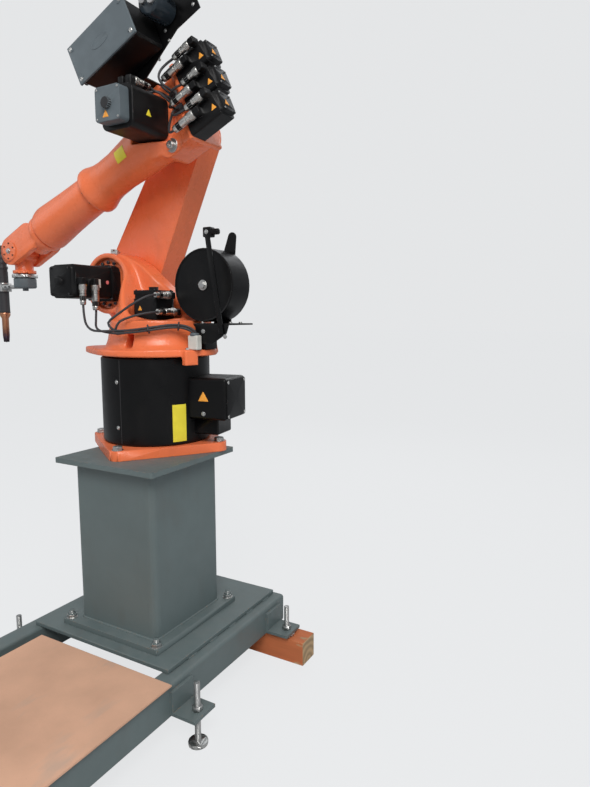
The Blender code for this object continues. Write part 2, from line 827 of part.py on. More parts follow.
def jack_bracket(side, centre_y):
    """An angle bracket on a rail's outer face, with the bore of its jack rod."""
    face = side * SKID_WIDTH / 2
    root = face - side * JACK_PLATE / 2
    out = face + side * JACK_PLATE_DEPTH
    half = JACK_PLATE_LENGTH / 2
    low = RAIL_LOW + RAIL_CORNER
    spans = (centre_y - half, centre_y + half)
    upright = face + side * JACK_PLATE
    flat = block((min(root, out), max(root, out)), spans, (low, low + JACK_PLATE))
    wall = block((min(root, upright), max(root, upright)), spans, (low, low + JACK_FLANGE_HEIGHT))
    bore = rod("Z", (low - OVERRUN, low + JACK_PLATE + OVERRUN), JACK_ROD_RADIUS + JACK_HOLE_CLEARANCE,
               (face + side * JACK_REACH, centre_y), JACK_BORE_SEGMENTS)
    return cut(union(flat, wall), bore)


def jack(side, centre_y, foot_z):
    """A jack rod with its foot, and the nut that carries the bracket."""
    x = side * (SKID_WIDTH / 2 + JACK_REACH)
    nut_top = RAIL_LOW + RAIL_CORNER - GAP
    head_low = RAIL_LOW + RAIL_CORNER + JACK_PLATE + GAP
    foot = rod("Z", (foot_z, foot_z + JACK_FOOT_HEIGHT), JACK_FOOT_RADIUS, (x, centre_y), SMALL_STEPS)
    shank = rod("Z", (foot_z + JACK_FOOT_HEIGHT / 2, JACK_ROD_TOP), JACK_ROD_RADIUS, (x, centre_y),
                SMALL_STEPS)
    top_nut = rod("Z", (head_low, head_low + JACK_NUT_HEIGHT), JACK_NUT_RADIUS, (x, centre_y), HEX_STEPS)
    rod_and_nut = union(foot, shank, top_nut)
    if foot_z + JACK_FOOT_HEIGHT < nut_top - JACK_NUT_HEIGHT:
        low_nut = rod("Z", (nut_top - JACK_NUT_HEIGHT, nut_top), JACK_NUT_RADIUS, (x, centre_y), HEX_STEPS)
        union(rod_and_nut, low_nut)
    return rod_and_nut


def jacks():
    """Four jacks: the rear pair stands on the timber and the front pair on the floor."""
    for side, side_name in ((-1, "near"), (1, "far")):
        finish(jack(side, JACK_REAR_Y, TIMBER_SIDE), f"jack_{side_name}_rear", "steel")
        finish(jack(side, JACK_FRONT_Y, 0), f"jack_{side_name}_front", "steel")


# Pedestal

def square_outline(half, corner):
    """Outline of a square with round corners about the pedestal's centre."""
    return rounded_rectangle((PEDESTAL_X - half, PEDESTAL_X + half),
                             (PEDESTAL_Y - half, PEDESTAL_Y + half), corner)


def pedestal():
    """Base plate with its corner bolts, box column and top plate."""
    half = PEDESTAL_PLATE_SIDE / 2
    base = plate(square_outline(half, PEDESTAL_PLATE_CORNER), (DECK_TOP, BASE_PLATE_TOP - GAP))
    reach = half - PEDESTAL_BOLT_INSET
    for x in (PEDESTAL_X - reach, PEDESTAL_X + reach):
        for y in (PEDESTAL_Y - reach, PEDESTAL_Y + reach):
            nut = rod("Z",
                      (BASE_PLATE_TOP - PEDESTAL_PLATE_THICKNESS / 2, BASE_PLATE_TOP + PEDESTAL_NUT_HEIGHT),
                      PEDESTAL_NUT_RADIUS, (x, y), HEX_STEPS)
            stud = rod("Z", (BASE_PLATE_TOP, BASE_PLATE_TOP + PEDESTAL_BOLT_STAND), PEDESTAL_BOLT_RADIUS,
                       (x, y), SMALL_STEPS)
            union(base, nut, stud)
    finish(base, "pedestal_base_plate", "grey green paint")
    column = plate(square_outline(PEDESTAL_COLUMN_SIDE / 2, PEDESTAL_COLUMN_CORNER),
                   (BASE_PLATE_TOP, COLUMN_TOP - GAP))
    finish(column, "pedestal_column", "grey green paint")
    top = plate(square_outline(half, PEDESTAL_PLATE_CORNER), (COLUMN_TOP, ROBOT_FLOOR - GAP))
    finish(top, "pedestal_top_plate", "grey green paint")


# Robot base

def foot_flange(base):
    """Orange foot: a disc that swells into four bolt lobes."""
    lobes = [(FOOT_LOBE_CENTRE * math.cos(a), FOOT_LOBE_CENTRE * math.sin(a), FOOT_LOBE_RADIUS)
             for a in (math.radians(90 * i) for i in range(4))]
    body = plate(belt([(0, 0, FOOT_RADIUS), *lobes], MEDIUM_STEPS), (0, FOOT_THICKNESS - GAP))
    for i in range(4):
        a = math.radians(90 * i)
        head = rod("Z", (FOOT_THICKNESS / 2, FOOT_THICKNESS + FOOT_BOLT_HEAD_HEIGHT), FOOT_BOLT_HEAD_RADIUS,
                   (FOOT_BOLT_CIRCLE * math.cos(a), FOOT_BOLT_CIRCLE * math.sin(a)), HEX_STEPS)
        union(body, head)
    finish(body, "foot_flange", "orange paint", base)


def base_drum(base):
    """Black drum of axis 1 with the disc that the column turns on."""
    drum = turning([(0, FLANGE_LOW - GAP), (AXIS_1_DISC_RADIUS, FLANGE_LOW - GAP),
                    (AXIS_1_DISC_RADIUS, DRUM_TOP),
                    (DRUM_RADIUS - DRUM_CHAMFER, DRUM_TOP), (DRUM_RADIUS, DRUM_TOP - DRUM_CHAMFER),
                    (DRUM_RADIUS, FOOT_THICKNESS + DRUM_CHAMFER),
                    (DRUM_RADIUS - DRUM_CHAMFER, FOOT_THICKNESS),
                    (0, FOOT_THICKNESS)])
    finish(drum, "base_drum", "black paint", base)


def connection_box(base):
    """Black box on the back of the drum, where the leads plug in from below."""
    body = block((-BOX_REACH, -BOX_INNER_REACH), (-BOX_HALF_WIDTH, BOX_HALF_WIDTH), (BOX_LOW, BOX_HIGH),
                 BOX_CORNER)
    chin = block((-BOX_CHIN_REACH, -BOX_INNER_REACH), (-BOX_CHIN_HALF_WIDTH, BOX_CHIN_HALF_WIDTH),
                 (BOX_CHIN_LOW, BOX_LOW + BOX_CORNER), BOX_CORNER / 2)
    union(body, chin)
    cut(body, rod("Z", (0, DRUM_TOP), DRUM_RADIUS + GAP, steps=FINE_STEPS))
    finish(body, "connection_box", "black paint", base)


# Rotating column

def column_flange():
    """Bottom flange: round at the turning axis, drawn out to the front and the rear."""
    outline = belt([(0, 0, FLANGE_RADIUS), (FLANGE_FRONT_CENTRE, 0, FLANGE_FRONT_RADIUS),
                    (-FLANGE_REAR_CENTRE, 0, FLANGE_REAR_RADIUS)], FINE_STEPS)
    return rounded(plate(outline, (FLANGE_LOW, FLANGE_TOP)), FLANGE_CHAMFER, 1)


def web_outline():
    """Side view of the tall web: front neck, round housing, sloping back and bowl rim."""
    top = AXIS_2_Z + HOUSING_RADIUS * WEB_TOP_SHARE
    low = FLANGE_TOP - FLANGE_CHAMFER * 2
    rim = FLANGE_TOP + BOWL_HEIGHT
    neck = AXIS_2_X + HOUSING_RADIUS / 3
    slope = [(AXIS_2_X - HOUSING_RADIUS / 2, top),
             (AXIS_2_X - HOUSING_RADIUS * 3 / 2, AXIS_2_Z + HOUSING_RADIUS / 2),
             (0, AXIS_2_Z - HOUSING_RADIUS / 8), (-FLANGE_RADIUS / 2, rim + POCKET_FLOOR * 3 / 2),
             (-BOWL_TOP_RADIUS * WEB_TOP_SHARE, rim)]
    return [(AXIS_2_X, low), (neck, rim + POCKET_FLOOR), (AXIS_2_X + HOUSING_RADIUS / 2, AXIS_2_Z),
            (AXIS_2_X, top),
            *flowing(slope), (-BOWL_FOOT_RADIUS * WEB_TOP_SHARE, low)]


def shoulder_outline():
    """Side view of the near shoulder that flows from the housing down to the flange."""
    low = FLANGE_TOP - FLANGE_THICKNESS / 2
    rim = FLANGE_TOP + BOWL_HEIGHT
    saddle = AXIS_2_X - HOUSING_RADIUS
    flow = [(AXIS_2_X - HOUSING_RADIUS / 3, AXIS_2_Z + HOUSING_RADIUS * 3 / 4),
            (saddle, AXIS_2_Z + HOUSING_RADIUS / 4), (saddle - POCKET_FLOOR, AXIS_2_Z - HOUSING_RADIUS / 2),
            (0, rim + FLANGE_THICKNESS / 2), (-FLANGE_RADIUS / 2, rim + FLANGE_THICKNESS / 4),
            (-BOWL_TOP_RADIUS, rim - FLANGE_THICKNESS)]
    return [(AXIS_2_X, low), (AXIS_2_X + HOUSING_RADIUS / 3, rim + FLANGE_THICKNESS),
            (AXIS_2_X, AXIS_2_Z - HOUSING_RADIUS / 2), *flowing(flow), (-BOWL_FOOT_RADIUS, low)]


def flared_foot():
    """Foot of the bowl, which flares out to the flange in a hollow curve."""
    low = FLANGE_TOP - FLANGE_CHAMFER * 2
    steps = [i / FLARE_STEPS for i in range(FLARE_STEPS + 1)]
    reach = BOWL_FOOT_RADIUS - BOWL_TOP_RADIUS
    flare = [(BOWL_TOP_RADIUS + reach * (1 - t) ** 2, FLANGE_TOP + FLARE_HEIGHT * t) for t in steps]
    top = POCKET_BASE + FLANGE_THICKNESS
    return turning([(0, top), (BOWL_TOP_RADIUS, top), *reversed(flare), (BOWL_FOOT_RADIUS, low), (0, low)])


def shoulder_cone():
    """Rounded block that leans in towards the housing, from which the shoulder is cut."""
    low = FLANGE_TOP - OVERRUN
    outline = belt([(0, 0, BOWL_TOP_RADIUS + GAP), (SHOULDER_FRONT_X, 0, SHOULDER_FRONT_RADIUS)], FINE_STEPS)
    body = plate(outline, (low, SHOULDER_TOP_Z))
    for vertex in body.data.vertices:
        if vertex.co.z > low + MERGE:
            vertex.co.x = SHOULDER_TOP_X + (vertex.co.x - SHOULDER_TOP_X) * SHOULDER_TOP_SHARE
            vertex.co.y = SHOULDER_TOP_Y + (vertex.co.y - SHOULDER_TOP_Y) * SHOULDER_TOP_SHARE
    return body


def housing_bolts():
    """Bolt heads in two groups of three at the top and the bottom of the housing's recess."""
    face = HOUSING_FACE_Y - HOUSING_RECESS_DEPTH
    heads = []
    for side in (90, 270):
        for turn in HOUSING_BOLT_GROUP_ANGLES:
            a = math.radians(side + turn)
            centre = (AXIS_2_X + HOUSING_BOLT_CIRCLE * math.cos(a),
                      AXIS_2_Z + HOUSING_BOLT_CIRCLE * math.sin(a))
            heads.append(rod("Y", (face - HOUSING_BOLT_HEIGHT, face + HOUSING_BOLT_HEIGHT),
                             HOUSING_BOLT_RADIUS,
                             centre, HEX_STEPS))
    return heads


def stop_lug():
    """Lug that hangs beside the drum and meets the end stop of axis 1."""
    inner = STOP_LUG_RADIUS - STOP_LUG_DEPTH / 2
    lug = block((inner, inner + STOP_LUG_DEPTH), (-STOP_LUG_WIDTH / 2, STOP_LUG_WIDTH / 2),
                (FLANGE_LOW - STOP_LUG_DROP, FLANGE_LOW + FLANGE_THICKNESS / 2))
    return turned_about(lug, "Z", STOP_LUG_AZIMUTH)


def column_casting(column):
    """Orange column: flange, bowl with the motor pocket, web and the housing of axis 2."""
    body = column_flange()
    union(body, flared_foot())
    web = rounded(plate(web_outline(), (HOUSING_FAR_Y, WEB_NEAR_Y), "Y"), CASTING_ROUNDING, 1)
    shoulder = plate(shoulder_outline(), (WEB_NEAR_Y - OVERRUN, SHOULDER_NEAR_Y), "Y")
    common(shoulder, shoulder_cone())
    housing = rod("Y", (HOUSING_FAR_Y, HOUSING_FACE_Y), HOUSING_RADIUS, (AXIS_2_X, AXIS_2_Z), FINE_STEPS)
    union(body, web, shoulder)
    clearing = rod("Y", (HOUSING_FACE_Y, SHOULDER_NEAR_Y + OVERRUN), HOUSING_RADIUS + RUNNING_GAP,
                   (AXIS_2_X, AXIS_2_Z),
                   FINE_STEPS)
    cut(body, clearing)
    union(body, housing)
    recess = rod("Y", (HOUSING_FACE_Y - HOUSING_RECESS_DEPTH, HOUSING_FACE_Y + OVERRUN),
                 HOUSING_RECESS_RADIUS,
                 (AXIS_2_X, AXIS_2_Z), FINE_STEPS)
    cut(body, recess)
    pocket = plate(rounded_rectangle((POCKET_CENTRE_X - POCKET_LENGTH / 2,
                                      POCKET_CENTRE_X + POCKET_LENGTH / 2),
                                     (POCKET_CENTRE_Y - POCKET_WIDTH / 2,
                                      POCKET_CENTRE_Y + POCKET_WIDTH / 2),
                                     POCKET_CORNER), (POCKET_BASE, AXIS_2_Z + HOUSING_RADIUS))
    cut(body, pocket)
    slot = block((BOWL_TOP_RADIUS, BOWL_FOOT_RADIUS + SLOT_DEPTH), (-SLOT_WIDTH / 2, SLOT_WIDTH / 2),
                 (FLANGE_TOP + FLANGE_CHAMFER, FLANGE_TOP + SLOT_HEIGHT))
    cut(body, turned_about(slot, "Z", SLOT_AZIMUTH))
    union(body, stop_lug(), *housing_bolts())
    disc = rod("Y", (LINK_INNER_Y + GAP, HOUSING_FAR_Y + OVERRUN), AXIS_2_DISC_RADIUS, (AXIS_2_X, AXIS_2_Z))
    union(body, disc)
    finish(body, "column_casting", "orange paint", column)


def motor_1(column):
    """Upright motor of axis 1 with its elbow connectors, in the casting's pocket."""
    half = MOTOR_1_SIDE / 2
    cap = MOTOR_1_CAP_SIDE / 2
    low = POCKET_BASE + GAP
    top = low + MOTOR_1_HEIGHT
    body = plate(rounded_rectangle((MOTOR_1_X - half, MOTOR_1_X + half),
                                   (MOTOR_1_Y - half, MOTOR_1_Y + half),
                                   MOTOR_CORNER), (low, top - MOTOR_1_CAP_HEIGHT * 2))
    waist = plate(rounded_rectangle((MOTOR_1_X - cap, MOTOR_1_X + cap), (MOTOR_1_Y - cap, MOTOR_1_Y + cap),
                                    MOTOR_CORNER), (low + MOTOR_1_CAP_HEIGHT, top - MOTOR_1_CAP_HEIGHT))
    head = plate(rounded_rectangle((MOTOR_1_X - half, MOTOR_1_X + half),
                                   (MOTOR_1_Y - half, MOTOR_1_Y + half),
                                   MOTOR_CORNER), (top - MOTOR_1_CAP_HEIGHT, top))
    knob = rod("Z", (top - MOTOR_1_CAP_HEIGHT / 2, top + KNOB_HEIGHT), KNOB_RADIUS, (MOTOR_1_X, MOTOR_1_Y),
               SMALL_STEPS)
    union(body, waist, head, knob)
    for (y, rise), kind in ((MOTOR_1_SIGNAL_YZ, SIGNAL), (MOTOR_1_POWER_YZ, POWER)):
        plug(body, (MOTOR_1_X - half, y, low + rise), (-1, 0, 0), (0, 1, 0), kind)
    finish(body, "axis_1_motor", "black paint", column)


def side_motor(face_y, side, flange_side, flange_length, body_length, cover_side, cover_length):
    """A motor along +Y about the origin: chamfered flange, body, slimmer rear cover and round knob."""
    def square(width, corner, start, end):
        half = width / 2
        return plate(rounded_rectangle((-half, half), (-half, half), corner, 2), (start, end), "Y")

    flange_end = face_y + flange_length
    body_end = flange_end + body_length
    cover_end = body_end + cover_length
    body = square(flange_side, flange_side / 5, face_y + GAP, flange_end)
    union(body, square(side, MOTOR_CORNER, flange_end - MERGE, body_end))
    union(body, square(cover_side, MOTOR_CORNER, body_end - MERGE, cover_end))
    union(body, rod("Y", (cover_end - MERGE, cover_end + KNOB_HEIGHT), KNOB_RADIUS, steps=SMALL_STEPS))
    return body


def motor_2(column):
    """Motor of axis 2 on the near side of the housing, with two plugs that hang down."""
    face = HOUSING_FACE_Y - HOUSING_RECESS_DEPTH
    body = side_motor(face, MOTOR_2_SIDE, MOTOR_2_FLANGE_SIDE, MOTOR_2_FLANGE_LENGTH + HOUSING_RECESS_DEPTH,
                      MOTOR_2_BODY_LENGTH, MOTOR_2_COVER_SIDE, MOTOR_2_COVER_LENGTH)
    moved(body, MOTOR_2_X, 0, AXIS_2_Z)
    near = HOUSING_FACE_Y + MOTOR_2_FLANGE_LENGTH + MOTOR_2_BODY_LENGTH - ELBOW_SIDE / 2
    side_x = MOTOR_2_X - MOTOR_2_SIDE / 2
    plug(body, (side_x, near, AXIS_2_Z), (-1, 0, 0), (0, 0, -1), SIGNAL)
    plug(body, (side_x, near - MOTOR_2_PLUG_SPACING, AXIS_2_Z), (-1, 0, 0), (0, 0, -1), POWER)
    finish(body, "axis_2_motor", "black paint", column)


def reel_bracket(column):
    """Folded sheet behind the column: foot on the flange, shelf, front skirt and rear upright."""
    shelf_top = REEL_Z - REEL_RADIUS - RUNNING_GAP
    rear_face = REEL_FACE_Y - REEL_DEPTH - RUNNING_GAP
    front = REEL_FACE_Y + ELBOW_LENGTH
    fold = REEL_SHEET / 2
    shelf = block((REEL_BRACKET_REAR_X, REEL_BRACKET_FRONT_X), (rear_face - fold, front - fold),
                  (shelf_top - REEL_SHEET, shelf_top))
    skirt_rear = REEL_BRACKET_REAR_X + fold
    skirt_front = REEL_BRACKET_FRONT_X - fold
    skirt_top = shelf_top - fold
    skirt = plate([(skirt_front, skirt_top), (skirt_rear, skirt_top),
                   (skirt_rear + REEL_SHEET * 2, shelf_top - REEL_BRACKET_HEIGHT / 2),
                   (skirt_rear + REEL_BRACKET_HEIGHT, shelf_top - REEL_BRACKET_HEIGHT),
                   (skirt_front - REEL_BRACKET_HEIGHT / 2, shelf_top - REEL_BRACKET_HEIGHT)],
                  (front - REEL_SHEET, front), "Y")
    upright = plate(belt([(REEL_X, REEL_Z, REEL_UPRIGHT_WIDTH / 2),
                          (GUIDE_HEAD_X, GUIDE_HEAD_Z, GUIDE_HEAD_SIDE / 2),
                          (REEL_X - REEL_UPRIGHT_WIDTH / 2, shelf_top, REEL_SHEET),
                          (REEL_X + REEL_UPRIGHT_WIDTH / 2, shelf_top, REEL_SHEET)]),
                    (rear_face - REEL_SHEET, rear_face), "Y")
    post_front = -BOWL_FOOT_RADIUS - GAP
    post = block((post_front - REEL_FOOT_LENGTH, post_front),
                 (-REEL_UPRIGHT_WIDTH / 2, REEL_UPRIGHT_WIDTH / 2), (FLANGE_TOP + GAP, shelf_top - fold))
    union(shelf, skirt, upright, post)
    finish(shelf, "reel_bracket", "black paint", column)


def reel_drum(column):
    """Covered wire spool: a drum with a raised rim and its axle bolt."""
    inner = REEL_RADIUS - REEL_RIM
    half = REEL_DEPTH
    drum = turning([(0, half + RUNNING_GAP - GAP), (REEL_AXLE_RADIUS * 2, half + RUNNING_GAP - GAP),
                    (REEL_AXLE_RADIUS * 2, half), (REEL_RADIUS - REEL_RIM / 2, half),
                    (REEL_RADIUS, half - REEL_RIM / 2), (REEL_RADIUS, REEL_RIM / 2),
                    (REEL_RADIUS - REEL_RIM / 4, 0), (inner, 0), (inner, REEL_RIM_DEPTH / 4),
                    (REEL_AXLE_RADIUS, REEL_RIM_DEPTH / 4), (REEL_AXLE_RADIUS, -REEL_AXLE_STAND),
                    (0, -REEL_AXLE_STAND)], FINE_STEPS)
    moved(along_minus_y(drum), REEL_X, REEL_FACE_Y, REEL_Z)
    finish(drum, "reel_drum", "black paint", column)


def wire_guide(column):
    """Flat bar from the bracket's skirt up to the guide head with its roller."""
    shelf_top = REEL_Z - REEL_RADIUS - RUNNING_GAP
    near = REEL_FACE_Y + ELBOW_LENGTH + GAP
    half = GUIDE_BAR_WIDTH / 2
    foot_z = shelf_top - REEL_BRACKET_HEIGHT / 2
    bar = plate([(GUIDE_FOOT_X + half * 2, foot_z), (GUIDE_HEAD_X + half, GUIDE_HEAD_Z),
                 (GUIDE_HEAD_X - half, GUIDE_HEAD_Z), (GUIDE_FOOT_X, foot_z)],
                (near, near + GUIDE_BAR_THICKNESS), "Y")
    side = GUIDE_HEAD_SIDE / 2
    head = block((GUIDE_HEAD_X - side, GUIDE_HEAD_X + side),
                 (near - GUIDE_HEAD_LENGTH / 2, near + GUIDE_BAR_THICKNESS),
                 (GUIDE_HEAD_Z - side, GUIDE_HEAD_Z + side), GUIDE_BAR_THICKNESS / 2, 1)
    roller = rod("X", (GUIDE_HEAD_X - GUIDE_ROLLER_LENGTH, GUIDE_HEAD_X), GUIDE_ROLLER_RADIUS,
                 (near - GUIDE_BAR_THICKNESS, GUIDE_HEAD_Z), SMALL_STEPS)
    finish(union(bar, head, roller), "wire_guide", "black paint", column)


def terminal_block(column):
    """Small white junction box on the near face of the bracket's skirt."""
    left = REEL_FACE_Y + ELBOW_LENGTH + GAP
    x = -BOWL_FOOT_RADIUS - REEL_FOOT_LENGTH / 2
    body = block((x - TERMINAL_SIDE / 2, x + TERMINAL_SIDE / 2), (left, left + TERMINAL_DEPTH),
                 (FLANGE_TOP + GAP, FLANGE_TOP + TERMINAL_HEIGHT), GUIDE_BAR_THICKNESS / 2, 1)
    finish(body, "terminal_block", "white plastic", column)


def column_leads(column):
    """Leads of motors 1 and 2, which run round the bowl in clips and end in the block."""
    half = MOTOR_1_SIDE / 2
    low = POCKET_BASE + GAP
    near = HOUSING_FACE_Y + MOTOR_2_FLANGE_LENGTH + MOTOR_2_BODY_LENGTH - ELBOW_SIDE / 2
    side_x = MOTOR_2_X - MOTOR_2_SIDE / 2
    block_x = -BOWL_FOOT_RADIUS - REEL_FOOT_LENGTH / 2
    block_y = REEL_FACE_Y + ELBOW_LENGTH + GAP + TERMINAL_DEPTH / 2
    block_top = FLANGE_TOP + TERMINAL_HEIGHT + GAP
    routes = strands([(0.012, 0.224, 0.478), (-0.027, 0.222, 0.478), (-0.080, 0.205, 0.482),
                      (-0.130, 0.180, 0.489),
                      (-0.172, 0.147, 0.497), (-0.203, 0.114, 0.500), (-0.230, 0.092, 0.496),
                      (-0.250, 0.078, 0.486),
                      (block_x, block_y, block_top + LEAD_STUB)], 4)
    starts = [
        (plug_end((MOTOR_1_X - half, MOTOR_1_SIGNAL_YZ[0], low + MOTOR_1_SIGNAL_YZ[1]), (-1, 0, 0),
                  (0, 1, 0), SIGNAL),
         [(-0.100, 0.150, 0.612), (-0.070, 0.184, 0.588), (-0.020, 0.212, 0.550), (0.024, 0.230, 0.512)]),
        (plug_end((MOTOR_1_X - half, MOTOR_1_POWER_YZ[0], low + MOTOR_1_POWER_YZ[1]), (-1, 0, 0),
                  (0, 1, 0), POWER),
         [(-0.098, 0.140, 0.550), (-0.066, 0.178, 0.540), (-0.018, 0.214, 0.516)]),
        (plug_end((side_x, near - MOTOR_2_PLUG_SPACING, AXIS_2_Z), (-1, 0, 0), (0, 0, -1), POWER),
         [(0.180, 0.146, 0.520), (0.145, 0.178, 0.494), (0.085, 0.210, 0.480)]),
        (plug_end((side_x, near, AXIS_2_Z), (-1, 0, 0), (0, 0, -1), SIGNAL),
         [(0.180, 0.205, 0.540), (0.150, 0.222, 0.504), (0.090, 0.240, 0.482)]),
    ]
    order = (2, 1, 0, 3)
    bundle = None
    for (start, points), k in zip(starts, order):
        strand = routes[k]
        end = Vector((strand[-1].x, strand[-1].y, block_top))
        made = lead([*start, *points, *strand[1::3], strand[-1], end])
        bundle = made if bundle is None else union(bundle, made)
    for share in CLIP_SHARES:
        at = round(share * (len(routes[0]) - 1))
        middle = sum((route[at] for route in routes), Vector()) / len(routes)
        ahead = routes[0][at + 1] - routes[0][at]
        clip = block((-CLIP_SIDE / 2, CLIP_SIDE / 2), (-CLIP_SIDE / 2, CLIP_SIDE / 2),
                     (-CLIP_WIDTH / 2, CLIP_WIDTH / 2),
                     CLIP_WIDTH / 4, 1)
        turn = Vector((0, 0, 1)).rotation_difference(ahead).to_matrix().to_4x4()
        clip.data.transform(Matrix.Translation(middle) @ turn)
        union(bundle, clip)
    finish(bundle, "column_leads", "rubber", column)


# Link arm

def link_arm(link):
    """Orange link: wide foot, waist and narrow head, hollowed on its near face, with a boss."""
    inner = LINK_INNER_Y
    outer = LINK_INNER_Y - LINK_THICKNESS
    waist = LINK_LENGTH * LINK_WAIST_SHARE
    outline = belt([(0, 0, LINK_FOOT_RADIUS), (0, waist, LINK_WAIST_RADIUS),
                    (0, LINK_LENGTH, LINK_HEAD_RADIUS)],
                   FINE_STEPS)
    body = rounded(plate(outline, (outer, inner), "Y"), LINK_CHAMFER, 2)
    foot = LINK_LENGTH * LINK_RECESS_FOOT_SHARE
    head = LINK_LENGTH * LINK_RECESS_HEAD_SHARE
    hollow = belt([(0, foot, LINK_RECESS_FOOT_RADIUS), (0, head, LINK_RECESS_HEAD_RADIUS)], MEDIUM_STEPS)
    cut(body, plate(hollow, (outer - OVERRUN, outer + LINK_RECESS_DEPTH), "Y"))
    boss = rod("Y", (inner - OVERRUN, inner + LINK_BOSS_STAND), LINK_BOSS_RADIUS,
               (-LINK_BOSS_FORWARD, LINK_BOSS_RISE),
               SMALL_STEPS)
    union(body, boss)
    finish(body, "link_arm", "orange paint", link)


def link_caps(link):
    """Round covers on the far side of both link joints."""
    outer = LINK_INNER_Y - LINK_THICKNESS
    head_radius = LINK_CAP_RADIUS * LINK_HEAD_RADIUS / LINK_FOOT_RADIUS
    for name, radius, z in (("link_foot_cap", LINK_CAP_RADIUS, 0),
                            ("link_head_cap", head_radius, LINK_LENGTH)):
        top = LINK_CAP_THICKNESS
        cap = turning([(0, top), (radius - LINK_CAP_CHAMFER, top), (radius, top - LINK_CAP_CHAMFER),
                       (radius, GAP), (0, GAP)],
                      MEDIUM_STEPS)
        finish(moved(along_minus_y(cap), 0, outer, z), name, "black paint", link)


# Arm

def forearm_profile():
    """Radius along the front housing of the arm, from its rim back to its root, as a turning."""
    rim_end = FOREARM_RIM_X + FOREARM_RIM_LENGTH
    half_rim = FOREARM_RIM_LENGTH / 4
    return [(0, rim_end), (FOREARM_RIM_RADIUS - half_rim, rim_end), (FOREARM_RIM_RADIUS, rim_end - half_rim),
            (FOREARM_RIM_RADIUS, FOREARM_RIM_X + half_rim), (FOREARM_RIM_RADIUS - half_rim, FOREARM_RIM_X),
            (FOREARM_NECK_RADIUS + half_rim, FOREARM_RIM_X - FOREARM_RIM_LENGTH * 2),
            (FOREARM_NECK_RADIUS, FOREARM_NECK_X), (FOREARM_ROOT_RADIUS, FOREARM_ROOT_X * 3),
            (FOREARM_ROOT_RADIUS, -FOREARM_ROOT_X), (0, -FOREARM_ROOT_X)]


def wedge():
    """Foot of the lower wrist motor: it narrows from the motor's front end to the arm."""
    rear = -ARM_BLOCK_LENGTH + MERGE
    corner = ARM_PLATE_THICKNESS / 2
    near = ARM_PLATE_NEAR_Y + ARM_PLATE_STEP
    low = ARM_PLATE_BOTTOM + MERGE
    root = -ARM_BLOCK_LENGTH / 3
    bm = bmesh.new()
    for x in (rear, rear + corner):
        for z in (low, ARM_PLATE_STEP_Z):
            for y in (0, near):
                bm.verts.new((x, y, z))
    for z in (ARM_BLOCK_BOTTOM + corner, ARM_PLATE_STEP_Z):
        for y in (0, ARM_NEAR_Y - MERGE):
            bm.verts.new((root, y, z))
    bmesh.ops.convex_hull(bm, input=bm.verts)
    return rounded(shape_from(outward(bm)), CASTING_ROUNDING / 2, 1)


def arm_housing(arm):
    """Orange arm: hub of axis 3, rear block with the motor plate, and the front housing."""
    hub = rounded(rod("Y", (ARM_FAR_Y, ARM_NEAR_Y), ARM_HUB_RADIUS, steps=FINE_STEPS), CASTING_ROUNDING, 1)
    plate_rear = -ARM_BLOCK_LENGTH
    plate_front = plate_rear + ARM_PLATE_THICKNESS
    rear = plate(rounded_rectangle((plate_rear, 0), (ARM_BLOCK_BOTTOM, ARM_BLOCK_TOP), ARM_BLOCK_CORNER),
                 (ARM_BLOCK_FAR_Y, ARM_NEAR_Y), "Y")
    corner = ARM_PLATE_THICKNESS / 2
    flat = plate(rounded_rectangle((ARM_PLATE_FAR_Y, ARM_PLATE_NEAR_Y), (ARM_PLATE_BOTTOM, ARM_PLATE_TOP),
                                   corner),
                 (plate_rear, plate_front), "X")
    step = wedge()
    pad_far = ARM_FAR_Y + FEEDER_PAD_HEIGHT
    pad = block((-FEEDER_FOOT_LENGTH / 2, FEEDER_FOOT_LENGTH / 2), (pad_far, ARM_NEAR_Y - CASTING_ROUNDING),
                (0, ARM_HUB_RADIUS + FEEDER_PAD_HEIGHT))
    front = moved(along_x(turning(forearm_profile(), MEDIUM_STEPS)), 0, 0, -WRIST_DROP)
    union(hub, rear, flat, step, pad, front)
    seat = rod("Y", (ARM_NEAR_Y - OVERRUN, ARM_NEAR_Y + MOTOR_3_FLANGE_LENGTH), MOTOR_3_FLANGE_RADIUS)
    bolt = rod("Y", (0, ARM_NEAR_Y + HUB_BOLT_STAND), HUB_BOLT_RADIUS * 2,
               (HUB_BOLT_X, HUB_BOLT_Z - HUB_BOLT_RADIUS),
               SMALL_STEPS)
    disc = rod("Y", (LINK_INNER_Y + GAP, ARM_FAR_Y + OVERRUN), AXIS_3_DISC_RADIUS)
    union(hub, bolt, disc)
    face = ARM_NEAR_Y + MOTOR_3_FLANGE_LENGTH
    room = MOTOR_3_SIDE / 2 + RUNNING_GAP
    niche = plate(rounded_rectangle((-room, room), (-room, room), MOTOR_CORNER * 2),
                  (face - RUNNING_GAP, face + room), "Y")
    cut(hub, turned_about(niche, "Y", MOTOR_3_TURN))
    union(hub, seat)
    finish(hub, "arm_housing", "orange paint", arm)


